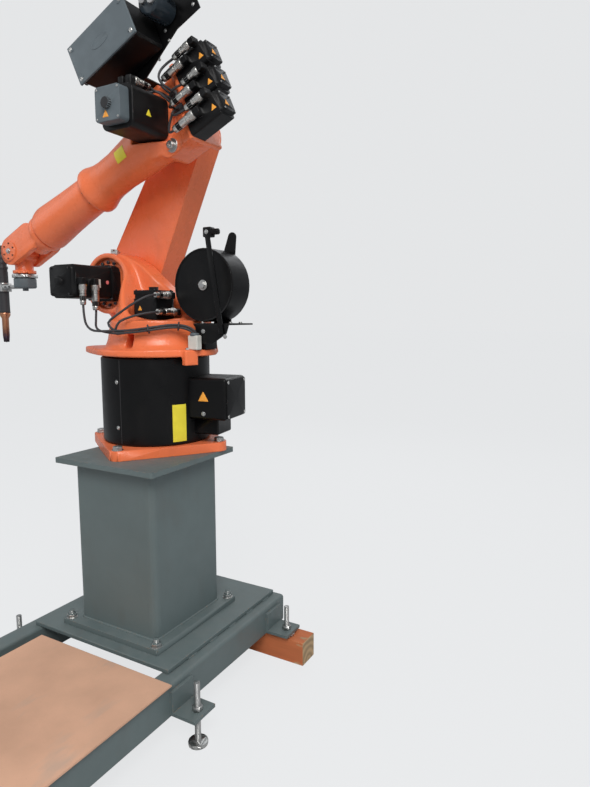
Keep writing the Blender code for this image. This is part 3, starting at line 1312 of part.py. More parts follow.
def forearm_tube(arm):
    """Orange extension tube with a long ridge and the disc that the wrist turns on."""
    start = FOREARM_RIM_X + FOREARM_RIM_LENGTH + GAP
    end = SEAM_X - RUNNING_GAP
    tube = turning([(0, SEAM_X - GAP), (AXIS_4_DISC_RADIUS, SEAM_X - GAP), (AXIS_4_DISC_RADIUS, end),
                    (TUBE_END_RADIUS - RUNNING_GAP, end), (TUBE_END_RADIUS, end - RUNNING_GAP),
                    (TUBE_END_RADIUS, end - TUBE_END_LENGTH), (TUBE_RADIUS, end - TUBE_END_LENGTH * 2),
                    (TUBE_RADIUS, start), (0, start)], MEDIUM_STEPS)
    moved(along_x(tube), 0, 0, -WRIST_DROP)
    ridge = block((start + FOREARM_RIM_LENGTH, end - TUBE_END_LENGTH),
                  (-TUBE_RIDGE_WIDTH / 2, TUBE_RIDGE_WIDTH / 2),
                  (0, TUBE_RADIUS + TUBE_RIDGE_HEIGHT - WRIST_DROP), TUBE_RIDGE_HEIGHT / 2, 1)
    union(tube, ridge)
    finish(tube, "forearm_tube", "orange paint", arm)


def motor_3(arm):
    """Large motor of axis 3 with its grey rear cover."""
    face = ARM_NEAR_Y + MOTOR_3_FLANGE_LENGTH
    body_end = face + MOTOR_3_BODY_LENGTH
    cover_end = body_end + MOTOR_3_COVER_LENGTH
    half = MOTOR_3_SIDE / 2
    cover = MOTOR_3_COVER_SIDE / 2
    body = plate(rounded_rectangle((-half, half), (-half, half), MOTOR_CORNER * 2), (face + GAP, body_end),
                 "Y")
    body = rounded(body, RUNNING_GAP, 1)
    rear = plate(rounded_rectangle((-cover, cover), (-cover, cover), MOTOR_CORNER),
                 (body_end + GAP, cover_end), "Y")
    union(rear, rod("Y", (cover_end - MERGE, cover_end + KNOB_HEIGHT), KNOB_RADIUS, steps=SMALL_STEPS))
    for x, kind in ((MOTOR_3_SIGNAL_X, SIGNAL), (MOTOR_3_POWER_X, POWER)):
        plug(body, (x, MOTOR_3_PLUG_Y, half), (0, 0, 1), (0, -1, 0), kind)
    finish(turned_about(body, "Y", MOTOR_3_TURN), "axis_3_motor", "black paint", arm)
    finish(turned_about(rear, "Y", MOTOR_3_TURN), "axis_3_motor_cover", "grey cover", arm)


def wrist_motor(arm, name, place):
    """One of the three motors behind the arm, with two plugs that point forward and down."""
    y, z = place
    half = WRIST_MOTOR_SIDE / 2
    cap = WRIST_MOTOR_CAP_SIDE / 2
    front = -ARM_BLOCK_LENGTH - GAP
    rear = front - WRIST_MOTOR_LENGTH
    body = plate(rounded_rectangle((y - half, y + half), (z - half, z + half), MOTOR_CORNER),
                 (rear, front), "X")
    end = plate(rounded_rectangle((y - cap, y + cap), (z - cap, z + cap), MOTOR_CORNER),
                (rear - WRIST_MOTOR_CAP_LENGTH, rear + MERGE), "X")
    union(body, end)
    for x, rise, kind in ((WRIST_PLUG_SIGNAL_X, WRIST_PLUG_SIGNAL_RISE, SIGNAL),
                          (WRIST_PLUG_POWER_X, WRIST_PLUG_POWER_RISE, POWER)):
        plug(body, (x, y + half, z + rise), (0, 1, 0), (1, 0, 0), kind)
    finish(body, name, "black paint", arm)


def arm_leads(arm):
    """Leads of the axis 3 and wrist motors, which all end in a gland plate on the housing's near face."""
    near = ARM_NEAR_Y + GAP
    top = near + GLAND_PLATE_THICKNESS
    bundle = plate(rounded_rectangle(GLAND_PLATE_X, GLAND_PLATE_Z, GLAND_PLATE_CORNER), (near, top), "Y")
    turn = Matrix.Rotation(math.radians(MOTOR_3_TURN), 3, "Y")
    third = []
    for x, kind in ((MOTOR_3_SIGNAL_X, SIGNAL), (MOTOR_3_POWER_X, POWER)):
        third.append([turn @ p for p in plug_end((x, MOTOR_3_PLUG_Y, MOTOR_3_SIDE / 2), (0, 0, 1),
                                                 (0, -1, 0), kind)])

    def start(place, x, rise, kind):
        return plug_end((x, place[0] + WRIST_MOTOR_SIDE / 2, place[1] + rise), (0, 1, 0), (1, 0, 0), kind)

    def signal(place):
        return start(place, WRIST_PLUG_SIGNAL_X, WRIST_PLUG_SIGNAL_RISE, SIGNAL)

    def power(place):
        return start(place, WRIST_PLUG_POWER_X, WRIST_PLUG_POWER_RISE, POWER)

    routes = [
        (signal(WRIST_MOTOR_UPPER_YZ),
         [(-0.165, 0.084, 0.121), (-0.138, 0.094, 0.110), (-0.123, 0.101, 0.090),
                                        (-0.122, 0.096, 0.066), (-0.128, 0.080, 0.050)], (-0.131, 0.038)),
        (power(WRIST_MOTOR_UPPER_YZ), [(-0.106, 0.075, 0.072), (-0.111, 0.068, 0.056)], (-0.117, 0.038)),
        (signal(WRIST_MOTOR_MIDDLE_YZ),
         [(-0.168, 0.094, 0.016), (-0.145, 0.092, 0.018), (-0.134, 0.078, 0.016)],
         (-0.131, 0.012)),
        (power(WRIST_MOTOR_MIDDLE_YZ), [(-0.107, 0.080, -0.018)], (-0.106, -0.008)),
        (signal(WRIST_MOTOR_LOWER_YZ),
         [(-0.168, 0.138, -0.102), (-0.142, 0.130, -0.090), (-0.124, 0.112, -0.070),
                                        (-0.118, 0.088, -0.048)], (-0.119, -0.026)),
        (power(WRIST_MOTOR_LOWER_YZ),
         [(-0.098, 0.128, -0.130), (-0.090, 0.112, -0.106), (-0.092, 0.094, -0.076),
                                       (-0.099, 0.074, -0.046)], (-0.104, -0.026)),
        (third[0], [(-0.084, 0.098, 0.058), (-0.094, 0.088, 0.046), (-0.101, 0.078, 0.030)],
         (-0.103, 0.012)),
        (third[1], [(-0.053, 0.080, 0.082), (-0.073, 0.066, 0.075), (-0.088, 0.060, 0.059)],
         (-0.103, 0.036)),
    ]
    for start_points, points, (x, z) in routes:
        union(bundle,
              lead([*start_points, *points, (x, top + LEAD_STUB, z),
                    (x, near + GLAND_PLATE_THICKNESS / 2, z)]))
    finish(bundle, "arm_leads", "rubber", arm)


# Wire feeder

def feeder_plate(arm):
    """Black sheet plate beside the feeder, folded into a foot that stands on the arm's pad."""
    near = FEEDER_PLATE_NEAR_Y
    far = near - FEEDER_PLATE_THICKNESS
    foot_z = ARM_HUB_RADIUS + FEEDER_PAD_HEIGHT + GAP
    outline = [(FEEDER_PLATE_FRONT_X, foot_z), (FEEDER_PLATE_FRONT_X, FEEDER_PLATE_HIGH_Z),
               (FEEDER_PLATE_REAR_X, FEEDER_PLATE_HIGH_Z), (FEEDER_PLATE_REAR_X, FEEDER_PLATE_NOTCH_Z),
               (FEEDER_PLATE_NOTCH_X, FEEDER_PLATE_NOTCH_Z), (-FEEDER_FOOT_LENGTH / 2, foot_z)]
    sheet = plate(outline, (far, near), "Y")
    foot = block((-FEEDER_FOOT_LENGTH / 2, FEEDER_FOOT_LENGTH / 2),
                 (near - FEEDER_FOOT_WIDTH - ELBOW_SIDE, near),
                 (foot_z, foot_z + FEEDER_PLATE_THICKNESS))
    union(sheet, foot)
    finish(sheet, "feeder_plate", "black paint", arm)


def wire_feeder(arm):
    """Feeder body on the plate, with the wire's inlet at the rear and the torch socket in front."""
    far = FEEDER_PLATE_NEAR_Y + GAP
    body = block((FEEDER_REAR_X, FEEDER_FRONT_X), (far, FEEDER_NEAR_Y), (FEEDER_LOW_Z, FEEDER_HIGH_Z),
                 FEEDER_CORNER, 1)
    middle_y = (far + FEEDER_NEAR_Y) / 2
    middle_z = (FEEDER_LOW_Z + FEEDER_HIGH_Z) / 2
    outlet = rod("X", (FEEDER_FRONT_X - FEEDER_CORNER, FEEDER_FRONT_X + OUTLET_LENGTH), OUTLET_RADIUS,
                 (middle_y, middle_z), SMALL_STEPS)
    union(body, outlet)
    finish(body, "wire_feeder", "black paint", arm)
    inset = COVER_OVERLAP
    cover_near = FEEDER_NEAR_Y + GAP + COVER_THICKNESS
    cover = block((FEEDER_REAR_X - inset, FEEDER_FRONT_X + inset), (FEEDER_NEAR_Y + GAP, cover_near),
                  (FEEDER_LOW_Z - inset, FEEDER_HIGH_Z + inset), COVER_THICKNESS / 4, 1)
    for x in (FEEDER_REAR_X + COVER_SCREW_INSET, FEEDER_FRONT_X - COVER_SCREW_INSET):
        for z in (FEEDER_LOW_Z + COVER_SCREW_INSET, FEEDER_HIGH_Z - COVER_SCREW_INSET):
            union(cover, rod("Y", (cover_near - COVER_THICKNESS / 2, cover_near + COVER_THICKNESS / 4),
                             COVER_SCREW_RADIUS, (x, z), SMALL_STEPS))
    finish(cover, "feeder_cover", "grey cover", arm)


def feeder_drive(arm):
    """Round drive housing on the plate behind the feeder, with the inlet tube of the wire."""
    start = FEEDER_PLATE_NEAR_Y + GAP
    body = rounded(rod("Y", (start, start + DRIVE_LENGTH), DRIVE_RADIUS, (DRIVE_X, DRIVE_Z)), RUNNING_GAP, 1)
    inlet = rod("X", (DRIVE_X - DRIVE_RADIUS - INLET_LENGTH, DRIVE_X), INLET_RADIUS,
                (start + DRIVE_LENGTH / 2, DRIVE_Z), SMALL_STEPS)
    finish(union(body, inlet), "feeder_drive", "grey cover", arm)


# Wrist, hand and tool. Wrist shapes lie in the frame of axis 4, X along the arm.

def wrist_body(wrist):
    """Orange wrist: collar at the seam, round body and the two cheeks that hold axis 5."""
    root = WRIST_REACH - FORK_ROOT
    body = along_x(turning([(0, root), (WRIST_RADIUS - RUNNING_GAP, root),
                            (WRIST_RADIUS, root - RUNNING_GAP * 2),
                            (WRIST_RADIUS, WRIST_COLLAR_LENGTH * 2),
                            (WRIST_COLLAR_RADIUS, WRIST_COLLAR_LENGTH),
                            (WRIST_COLLAR_RADIUS, RUNNING_GAP), (WRIST_COLLAR_RADIUS - RUNNING_GAP, 0),
                            (0, 0)],
                           MEDIUM_STEPS))
    inner = FORK_GAP / 2
    for side in (-1, 1):
        spans = sorted((side * inner, side * (inner + FORK_CHEEK)))
        cheek = plate(belt([(WRIST_REACH, 0, FORK_RADIUS), (root - FORK_CHEEK, 0, FORK_RADIUS)],
                           MEDIUM_STEPS), spans, "Y")
        outer = inner + FORK_CHEEK
        cap = rod("Y", sorted((side * (inner + outer) / 2, side * (outer + AXIS_5_CAP_THICKNESS))),
                  AXIS_5_CAP_RADIUS,
                  (WRIST_REACH, 0))
        union(body, cheek, cap)
    finish(body, "wrist_body", "orange paint", wrist)


def hand_body(hand):
    """Orange hand between the cheeks; -Z is the tool direction."""
    half = FORK_GAP / 2 - RUNNING_GAP
    hub = rod("Y", (-half, half), HAND_HUB_RADIUS)
    pivot = rod("Y", (-FORK_GAP / 2 + GAP, FORK_GAP / 2 - GAP), AXIS_5_DISC_RADIUS)
    neck = rod("Z", (-HAND_LENGTH, 0), HAND_NECK_RADIUS)
    collar = rod("Z", (-HAND_LENGTH, -HAND_LENGTH + FLANGE_DISC_THICKNESS), FLANGE_DISC_RADIUS - RUNNING_GAP)
    disc = rod("Z", (-HAND_LENGTH - RUNNING_GAP + GAP, -HAND_LENGTH + RUNNING_GAP), AXIS_6_DISC_RADIUS,
               steps=SMALL_STEPS)
    union(hub, pivot, neck, collar, disc)
    finish(hub, "hand_body", "orange paint", hand)


def tool(turn):
    """Flange, mounting block, bracket and torch; the torch runs beside axis 6 on +X."""
    face = -HAND_LENGTH - RUNNING_GAP
    flange_end = face - FLANGE_DISC_THICKNESS
    finish(rod("Z", (flange_end, face), FLANGE_DISC_RADIUS), "tool_flange", "steel", turn)
    block_end = flange_end - TOOL_BLOCK_HEIGHT
    bracket_top = block_end + TORCH_BRACKET_HEIGHT
    octagon = turned_about(rod("Z", (block_end, flange_end - GAP), TOOL_BLOCK_RADIUS, steps=OCTAGON_STEPS),
                           "Z",
                           HALF_TURN / OCTAGON_STEPS)
    body = rounded(octagon, TOOL_BLOCK_CHAMFER, 1)
    bolt = rod("Z", (block_end - TOOL_BOLT_HEIGHT, block_end + TOOL_BOLT_HEIGHT), TOOL_BOLT_RADIUS,
               steps=HEX_STEPS)
    union(body, bolt)
    finish(body, "tool_block", "grey cover", turn)
    bracket_start = TOOL_BLOCK_RADIUS * math.cos(math.radians(HALF_TURN / OCTAGON_STEPS)) + GAP
    bar = block((bracket_start, TORCH_OFFSET), (-TORCH_BRACKET_WIDTH / 2, TORCH_BRACKET_WIDTH / 2),
                (block_end, bracket_top), TORCH_BRACKET_HEIGHT / 8, 1)
    middle = (block_end + bracket_top) / 2
    clamp = rod("Z", (middle - TORCH_CLAMP_HEIGHT / 2, middle + TORCH_CLAMP_HEIGHT / 2), TORCH_CLAMP_RADIUS,
                (TORCH_OFFSET, 0))
    union(bar, clamp)
    bore = rod("Z", (middle - TORCH_CLAMP_HEIGHT, middle + TORCH_CLAMP_HEIGHT), TORCH_BODY_RADIUS + GAP,
               (TORCH_OFFSET, 0))
    cut(bar, bore)
    finish(bar, "torch_bracket", "steel", turn)


def torch(turn):
    """Torch body with its ribbed boot, and the copper nozzle."""
    boot_end = -HAND_LENGTH + TORCH_BRACKET_HEIGHT
    top = -TORCH_TOP
    rib = (top - boot_end) / (2 * TORCH_BOOT_RIBS)
    profile = [(0, top)]
    for i in range(2 * TORCH_BOOT_RIBS):
        flare = TORCH_BOOT_RADIUS - TORCH_BOOT_TIP_RADIUS
        radius = TORCH_BOOT_TIP_RADIUS + flare * i / (2 * TORCH_BOOT_RIBS)
        depth = 1 - TORCH_RIB_DEPTH_SHARE * (i % 2)
        profile += [(radius * depth, top - rib * i), (radius * depth, top - rib * (i + 1) + MERGE * 2)]
    profile += [(TORCH_BODY_RADIUS, boot_end), (TORCH_BODY_RADIUS, -TORCH_BODY_END), (0, -TORCH_BODY_END)]
    body = moved(turning(profile, ARC_STEPS), TORCH_OFFSET)
    finish(body, "torch_body", "rubber", turn)
    start = -TORCH_BODY_END - GAP
    step = TORCH_NOZZLE_RADIUS * 2
    nozzle = turning([(0, start), (TORCH_BODY_RADIUS, start), (TORCH_BODY_RADIUS, start - step / 2),
                      (TORCH_NOZZLE_RADIUS, start - step), (TORCH_NOZZLE_RADIUS, -TORCH_TIP + step),
                      (TORCH_NOZZLE_TIP_RADIUS, -TORCH_TIP), (0, -TORCH_TIP)], ARC_STEPS)
    finish(moved(nozzle, TORCH_OFFSET), "torch_nozzle", "copper", turn)


def main():
    """Build the skid and pedestal, then the robot from its base to the torch."""
    timber_bearer()
    rail("skid_rail_near", -1)
    rail("skid_rail_far", 1)
    cross_member("cross_member_rear", SKID_REAR_Y)
    cross_member("cross_member_front", SKID_REAR_Y + RAIL_LENGTH - CROSS_MEMBER_WIDTH)
    deck()
    jacks()
    pedestal()

    base = frame("robot_base", None, (ROBOT_X, ROBOT_Y, ROBOT_FLOOR), (0, 0, BASE_YAW))
    foot_flange(base)
    base_drum(base)
    connection_box(base)

    column = frame("axis_1", None, (ROBOT_X, ROBOT_Y, ROBOT_FLOOR))
    column_casting(column)
    motor_1(column)
    motor_2(column)
    reel_bracket(column)
    reel_drum(column)
    wire_guide(column)
    terminal_block(column)
    column_leads(column)

    link = frame("axis_2", column, (AXIS_2_X, 0, AXIS_2_Z), (0, LINK_LEAN, 0))
    link_arm(link)
    link_caps(link)

    arm = frame("axis_3", link, (0, 0, LINK_LENGTH), (0, ARM_DIP - LINK_LEAN, 0))
    arm_housing(arm)
    forearm_tube(arm)
    motor_3(arm)
    wrist_motor(arm, "wrist_motor_upper", WRIST_MOTOR_UPPER_YZ)
    wrist_motor(arm, "wrist_motor_middle", WRIST_MOTOR_MIDDLE_YZ)
    wrist_motor(arm, "wrist_motor_lower", WRIST_MOTOR_LOWER_YZ)
    arm_leads(arm)
    feeder_plate(arm)
    wire_feeder(arm)
    feeder_drive(arm)

    wrist = frame("axis_4", arm, (SEAM_X, 0, -WRIST_DROP))
    wrist_body(wrist)
    hand = frame("axis_5", wrist, (WRIST_REACH, 0, 0), (0, BEND - 90, 0))
    hand_body(hand)
    turn = frame("axis_6", hand)
    tool(turn)
    torch(turn)
    bpy.data.collections.remove(SHAPES)


main()
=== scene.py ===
"""Looks of a six-axis robot arm on its pedestal and skid.

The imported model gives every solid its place. This script gives each of them a finish, smooths the
turned and cast ones, and adds what is too fine for the solids: screws, weld beads, threads, the
ribbed coupling rings of the plugs, plain markers, seams and rollers. Lengths are in metres, +Z is up.
"""

import logging
import math
from dataclasses import dataclass, field
from enum import Enum

import bmesh
import bpy
import numpy as np
from mathutils import Matrix, Vector


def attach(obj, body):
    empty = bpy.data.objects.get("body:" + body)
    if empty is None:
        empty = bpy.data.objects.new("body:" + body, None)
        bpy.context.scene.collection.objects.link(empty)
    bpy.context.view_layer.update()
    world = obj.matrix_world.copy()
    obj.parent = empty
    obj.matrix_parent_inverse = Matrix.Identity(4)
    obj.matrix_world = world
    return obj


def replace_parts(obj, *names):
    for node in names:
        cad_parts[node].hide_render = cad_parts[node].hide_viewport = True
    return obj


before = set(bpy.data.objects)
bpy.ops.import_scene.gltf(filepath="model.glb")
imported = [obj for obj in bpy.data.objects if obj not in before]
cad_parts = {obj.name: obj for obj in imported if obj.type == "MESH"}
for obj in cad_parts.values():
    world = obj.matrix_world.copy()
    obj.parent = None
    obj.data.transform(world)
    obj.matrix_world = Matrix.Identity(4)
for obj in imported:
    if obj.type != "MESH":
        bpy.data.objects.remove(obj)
LOG = logging.getLogger("robot_arm")
TURN = 2 * math.pi
CORNERS = np.array([(1, 1), (-1, 1), (-1, -1), (1, -1)])

# A colour is linear red, green and blue, a circle its centre and radius, and a block its lowest corner,
# its highest corner and the radius of its edges.
Pair = tuple[float, float]
Point = tuple[float, float, float]
Colour = tuple[float, float, float]
Circle = tuple[float, float, float]
Block = tuple[Point, Point, float]
Socket = bpy.types.NodeSocket


class Body(Enum):
    """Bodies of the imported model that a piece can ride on."""

    BASE = "base"
    COLUMN = "column"
    LINK = "link"
    ARM = "arm"
    WRIST = "wrist"
    HAND = "hand"
    TOOL = "tool"


class Drive(Enum):
    """What a screw head is turned by."""

    HEX = "hexagon outside"
    SOCKET = "hexagon inside"
    PAN = "round head with a small recess"


@dataclass(frozen=True)
class Place:
    """A local frame: its origin and its three axes, as rows, in the model's own frame."""

    origin: Point
    axes: tuple[Point, Point, Point] = ((1, 0, 0), (0, 1, 0), (0, 0, 1))

    def point(self, local: Point) -> Point:
        """Return a local point in the model's frame."""
        axes = np.asarray(self.axes, float)
        return tuple(np.asarray(self.origin, float) + np.asarray(local, float) @ axes)

    def at(self, local: Point, direction: Point = (0, 0, 1), spin: float = 0.0) -> "Place":
        """Return a frame on a local point, with its Z along a local direction.

        Args:
            local: The point that the new frame stands on.
            direction: The new Z axis, in this frame.
            spin: Turn of the new frame about its Z, in radians.

        Returns:
            The new frame, in the model's frame.
        """
        z = np.asarray(direction, float) / np.linalg.norm(direction)
        x = np.cross((0, 0, 1) if abs(z[2]) < 0.9 else (0, 1, 0), z)
        x /= np.linalg.norm(x)
        y = np.cross(z, x)
        turned = np.array([math.cos(spin) * x + math.sin(spin) * y,
                           math.cos(spin) * y - math.sin(spin) * x, z])
        axes = turned @ np.asarray(self.axes, float)
        return Place(self.point(local), tuple(tuple(row) for row in axes))


LEAN = (0.9088, 0.0, -0.41723)
LINK_LEAN = (0.8739, 0.0, 0.4860)
BASE_YAW = math.radians(10)
PEDESTAL = Place((-0.010, 0.340, 0.0))
BASE = Place((0.04, 0.22, 0.91), ((math.cos(BASE_YAW), math.sin(BASE_YAW), 0),
                                  (-math.sin(BASE_YAW), math.cos(BASE_YAW), 0), (0, 0, 1)))
COLUMN = Place((0.04, 0.22, 0.91))
LINK = Place((0.3, 0.22, 1.585), (LINK_LEAN, (0, 1, 0), (-LINK_LEAN[2], 0, LINK_LEAN[0])))
ELBOW = Place((-0.0305, 0.22, 2.17928))
ARM = Place(ELBOW.origin, (LEAN, (0, 1, 0), (-LEAN[2], 0, LEAN[0])))
WRIST = Place((0.65467, 0.22, 1.8262), ARM.axes)
HAND = Place((0.83643, 0.22, 1.74276))


@dataclass
class Shell:
    """A mesh as whole arrays: its points, and its faces with four and with three corners."""

    points: np.ndarray
    quads: np.ndarray
    triangles: np.ndarray = field(default_factory=lambda: np.zeros((0, 3), int))

    def moved(self, place: Place) -> "Shell":
        """Return the shell carried from the origin to a place."""
        points = np.asarray(place.origin) + self.points @ np.asarray(place.axes, float)
        return Shell(points, self.quads, self.triangles)

    def repeated(self, places: list[Place]) -> "Shell":
        """Return one copy of the shell at each place, as one shell."""
        return joined([self.moved(place) for place in places])


def joined(shells: list[Shell]) -> Shell:
    """Put shells together in one, with their faces' corners counted on.

    Args:
        shells: The shells, each closed by itself.

    Returns:
        One shell that holds them all.
    """
    starts = np.cumsum([0] + [len(shell.points) for shell in shells[:-1]])
    return Shell(np.concatenate([shell.points for shell in shells]),
                 np.concatenate([shell.quads + start for shell, start in zip(shells, starts)]),
                 np.concatenate([shell.triangles + start for shell, start in zip(shells, starts)]))


def lofted(rings: np.ndarray) -> Shell:
    """Close a skin over rings, each joined to the next by quads and the two ends by fans.

    The faces point outwards where a ring runs against the clock, seen from the side that the rings
    advance to.

    Args:
        rings: Points of the rings, shaped (rings, points, 3).

    Returns:
        The closed shell.
    """
    count, around, _ = rings.shape
    index = np.arange(count * around).reshape(count, around)
    after = np.roll(index, -1, 1)
    quads = np.stack([index[:-1], after[:-1], after[1:], index[1:]], -1).reshape(-1, 4)
    first, last = count * around, count * around + 1
    low = np.stack([after[0], index[0], np.full(around, first)], -1)
    high = np.stack([index[-1], after[-1], np.full(around, last)], -1)
    points = np.concatenate([rings.reshape(-1, 3), rings[:1].mean(1), rings[-1:].mean(1)])
    return Shell(points, quads, np.concatenate([low, high]))


def hooped(rings: np.ndarray) -> Shell:
    """Close a skin over rings whose last one is joined to the first, as a bent pipe's are.

    Args:
        rings: Points of the rings, shaped (rings, points, 3).

    Returns:
        The closed shell.
    """
    index = np.arange(rings.shape[0] * rings.shape[1]).reshape(rings.shape[:2])
    after, beyond = np.roll(index, -1, 1), np.roll(index, -1, 0)
    quads = np.stack([index, after, np.roll(beyond, -1, 1), beyond], -1).reshape(-1, 4)
    return Shell(rings.reshape(-1, 3), quads)


def round_rings(radius: np.ndarray, angle: np.ndarray, height: np.ndarray) -> np.ndarray:
    """Return the points (r cos a, r sin a, z) for whole arrays of radii, angles and heights."""
    return np.stack(np.broadcast_arrays(radius * np.cos(angle), radius * np.sin(angle), height), -1)


def turned(profile: list[Pair], steps: int = 32) -> Shell:
    """Turn a profile about Z.

    Args:
        profile: Radius and height of each point, from the low end of the outside to the high end.
        steps: Points around the axis.

    Returns:
        The closed shell, with its two ends capped.
    """
    radius, height = np.asarray(profile, float).T[:, :, None]
    return lofted(round_rings(radius, np.linspace(0, TURN, steps, endpoint=False), height))


def bent(section: tuple[Pair, ...], span: Pair, steps: int) -> Shell:
    """Bend a strip about Z.

    Args:
        section: Radius and height of the strip's corners.
        span: Angles that the strip starts and ends at.
        steps: Rings along the strip.

    Returns:
        The closed shell.
    """
    radius, height = np.asarray(section, float).T
    return lofted(round_rings(radius, np.linspace(*span, steps)[:, None], height))


def fluted(profile: list[Pair], flutes: int, depth: float, band: Pair,
           steps_each: int = 4) -> Shell:
    """Turn a profile about Z whose radius dips in flutes: r(a, z) = r(z) - d (1 - cos(n a)) / 2.

    Args:
        profile: Radius and height of each point, low end first.
        flutes: Number of flutes around.
        depth: Depth d of a flute.
        band: Heights between which the flutes are cut.
        steps_each: Points of the grid for each flute.

    Returns:
        The closed shell.
    """
    radius, height = np.asarray(profile, float).T[:, :, None]
    angle = np.linspace(0, TURN, flutes * steps_each, endpoint=False)
    cut = ((height > band[0]) & (height < band[1])).astype(float)
    reach = radius - cut * depth * (1 - np.cos(flutes * angle)) / 2
    return lofted(round_rings(reach, angle, height))


def round_corners(centres: np.ndarray, radius: np.ndarray, phase: float, steps: int) -> np.ndarray:
    """Give an outline with one arc at each corner: point = centre + r (cos a, sin a).

    Args:
        centres: Centres of the corners' arcs, shaped (corners, 2), against the clock.
        radius: Radius of the arcs in each ring, shaped (rings,).
        phase: Direction of the first corner, in radians.
        steps: Points on each arc.

    Returns:
        Points of the outlines, shaped (rings, corners * steps, 2).
    """
    corners = len(centres)
    middle = phase + TURN * np.arange(corners)[:, None] / corners
    angle = middle + np.linspace(-0.5, 0.5, steps) * TURN / corners
    arc = np.stack([np.cos(angle), np.sin(angle)], -1)
    points = centres[None, :, None, :] + np.asarray(radius)[:, None, None, None] * arc[None]
    return points.reshape(len(radius), corners * steps, 2)


def pillowed(centres: np.ndarray, radius: float, low: float, high: float, edge: float,
             phase: float, steps: int = 5) -> Shell:
    """Make a plate with round corners whose two rims are rounded over by a quarter circle.

    On a rim, at angle t from 0 to 90 degrees, the outline lies e (1 - sin t) inwards and
    e (1 - cos t) from the face.

    Args:
        centres: Centres of the corners' arcs, shaped (corners, 2).
        radius: Radius of the corners.
        low: Height of the lower face.
        high: Height of the upper face.
        edge: Radius e of the rims, less than the corners' radius.
        phase: Direction of the first corner.
        steps: Points on each corner's arc.

    Returns:
        The closed shell.
    """
    t = np.linspace(0, math.pi / 2, 4)
    inset = np.concatenate([edge * (1 - np.sin(t)), edge * (1 - np.sin(t[::-1]))])
    height = np.concatenate([low + edge * (1 - np.cos(t)), high - edge * (1 - np.cos(t[::-1]))])
    outline = round_corners(centres, radius - inset, phase, steps)
    rings = np.concatenate([outline, np.repeat(height[:, None, None], outline.shape[1], 1)], -1)
    return lofted(rings)


def slab(half_x: float, half_y: float, low: float, high: float, corner: float, edge: float) -> Shell:
    """Make a rectangular plate, centred on Z, with round corners and rounded rims."""
    centres = CORNERS * (half_x - corner, half_y - corner)
    return pillowed(centres, corner, low, high, edge, math.pi / 4)


def regular(sides: int, reach: float, low: float, high: float, corner: float, edge: float) -> Shell:
    """Make a plate in the form of a regular polygon with round corners, centred on Z.

    Args:
        sides: Number of sides.
        reach: Distance from the middle to a side.
        low: Height of the lower face.
        high: Height of the upper face.
        corner: Radius of the corners.
        edge: Radius of the rims.

    Returns:
        The closed shell.
    """
    away = (reach - corner) / math.cos(math.pi / sides)
    angle = math.pi / 2 + TURN * np.arange(sides) / sides
    centres = away * np.stack([np.cos(angle), np.sin(angle)], -1)
    return pillowed(centres, corner, low, high, edge, math.pi / 2)


def bar(path: np.ndarray, radius: np.ndarray, up: Point, steps: int = 10, flat: float = 1.0,
        loop: bool = False) -> Shell:
    """Carry an ellipse along a path: point = path + r (cos a side + f sin a normal).

    The side is the cross product of the path's direction and the up vector.

    Args:
        path: Points of the path, shaped (points, 3).
        radius: Radius at each point of the path.
        up: A direction that the path never runs along.
        steps: Points around the section.
        flat: The section's height as a share of its width.
        loop: Whether the path's end joins its start.

    Returns:
        The closed shell.
    """
    path = np.asarray(path, float)
    along = np.roll(path, -1, 0) - np.roll(path, 1, 0) if loop else np.gradient(path, axis=0)
    along /= np.linalg.norm(along, axis=1, keepdims=True)
    side = np.cross(along, np.asarray(up, float))
    side /= np.linalg.norm(side, axis=1, keepdims=True)
    normal = np.cross(side, along)
    angle = np.linspace(0, TURN, steps, endpoint=False)[None, :, None]
    reach = np.broadcast_to(radius, len(path))[:, None, None]
    rings = path[:, None] + reach * (np.cos(angle) * side[:, None] - flat * np.sin(angle) * normal[:, None])
    return hooped(rings) if loop else lofted(rings)


def weld_bead(corners: np.ndarray, width: float, up: Point, loop: bool = False,
              ripple: float = 0.004) -> Shell:
    """Lay a weld bead along straight runs, its radius swelling by a tenth at each ripple.

    The radius at length s is w (1 + 0.1 |sin(pi s / ripple)|) / 2.

    Args:
        corners: Corners of the path, shaped (corners, 3).
        width: Width w of the bead.
        up: Direction that the path never runs along.
        loop: Whether the path closes on itself.
        ripple: Length of a ripple.

    Returns:
        The closed shell.
    """
    corners = np.asarray(corners, float)
    ends = np.concatenate([corners, corners[:1]]) if loop else corners
    reach = np.concatenate([[0], np.cumsum(np.linalg.norm(np.diff(ends, axis=0), axis=1))])
    count = max(8, int(reach[-1] / (ripple / 3)))
    length = np.linspace(0, reach[-1], count, endpoint=not loop)
    path = np.stack([np.interp(length, reach, ends[:, axis]) for axis in range(3)], -1)
    radius = width / 2 * (1 + 0.1 * np.abs(np.sin(math.pi * length / ripple)))
    return bar(path, radius, up, 8, loop=loop)


def thread(radius: float, depth: float, pitch: float, low: float, high: float, steps: int = 20) -> Shell:
    """Cut a thread on a rod: r(a, z) = R - d |2 frac(z / p - a / 360 degrees) - 1|.

    Args:
        radius: Radius R over the crests.
        depth: Depth d of the thread.
        pitch: Rise p of one turn.
        low: Lower end.
        high: Upper end.
        steps: Points around.

    Returns:
        The closed shell.
    """
    height = np.linspace(low, high, int((high - low) / pitch * 6))[:, None]
    angle = np.linspace(0, TURN, steps, endpoint=False)[None]
    phase = (height / pitch - angle / TURN) % 1
    reach = radius - depth * np.abs(2 * phase - 1)
    return lofted(round_rings(reach, angle, height))


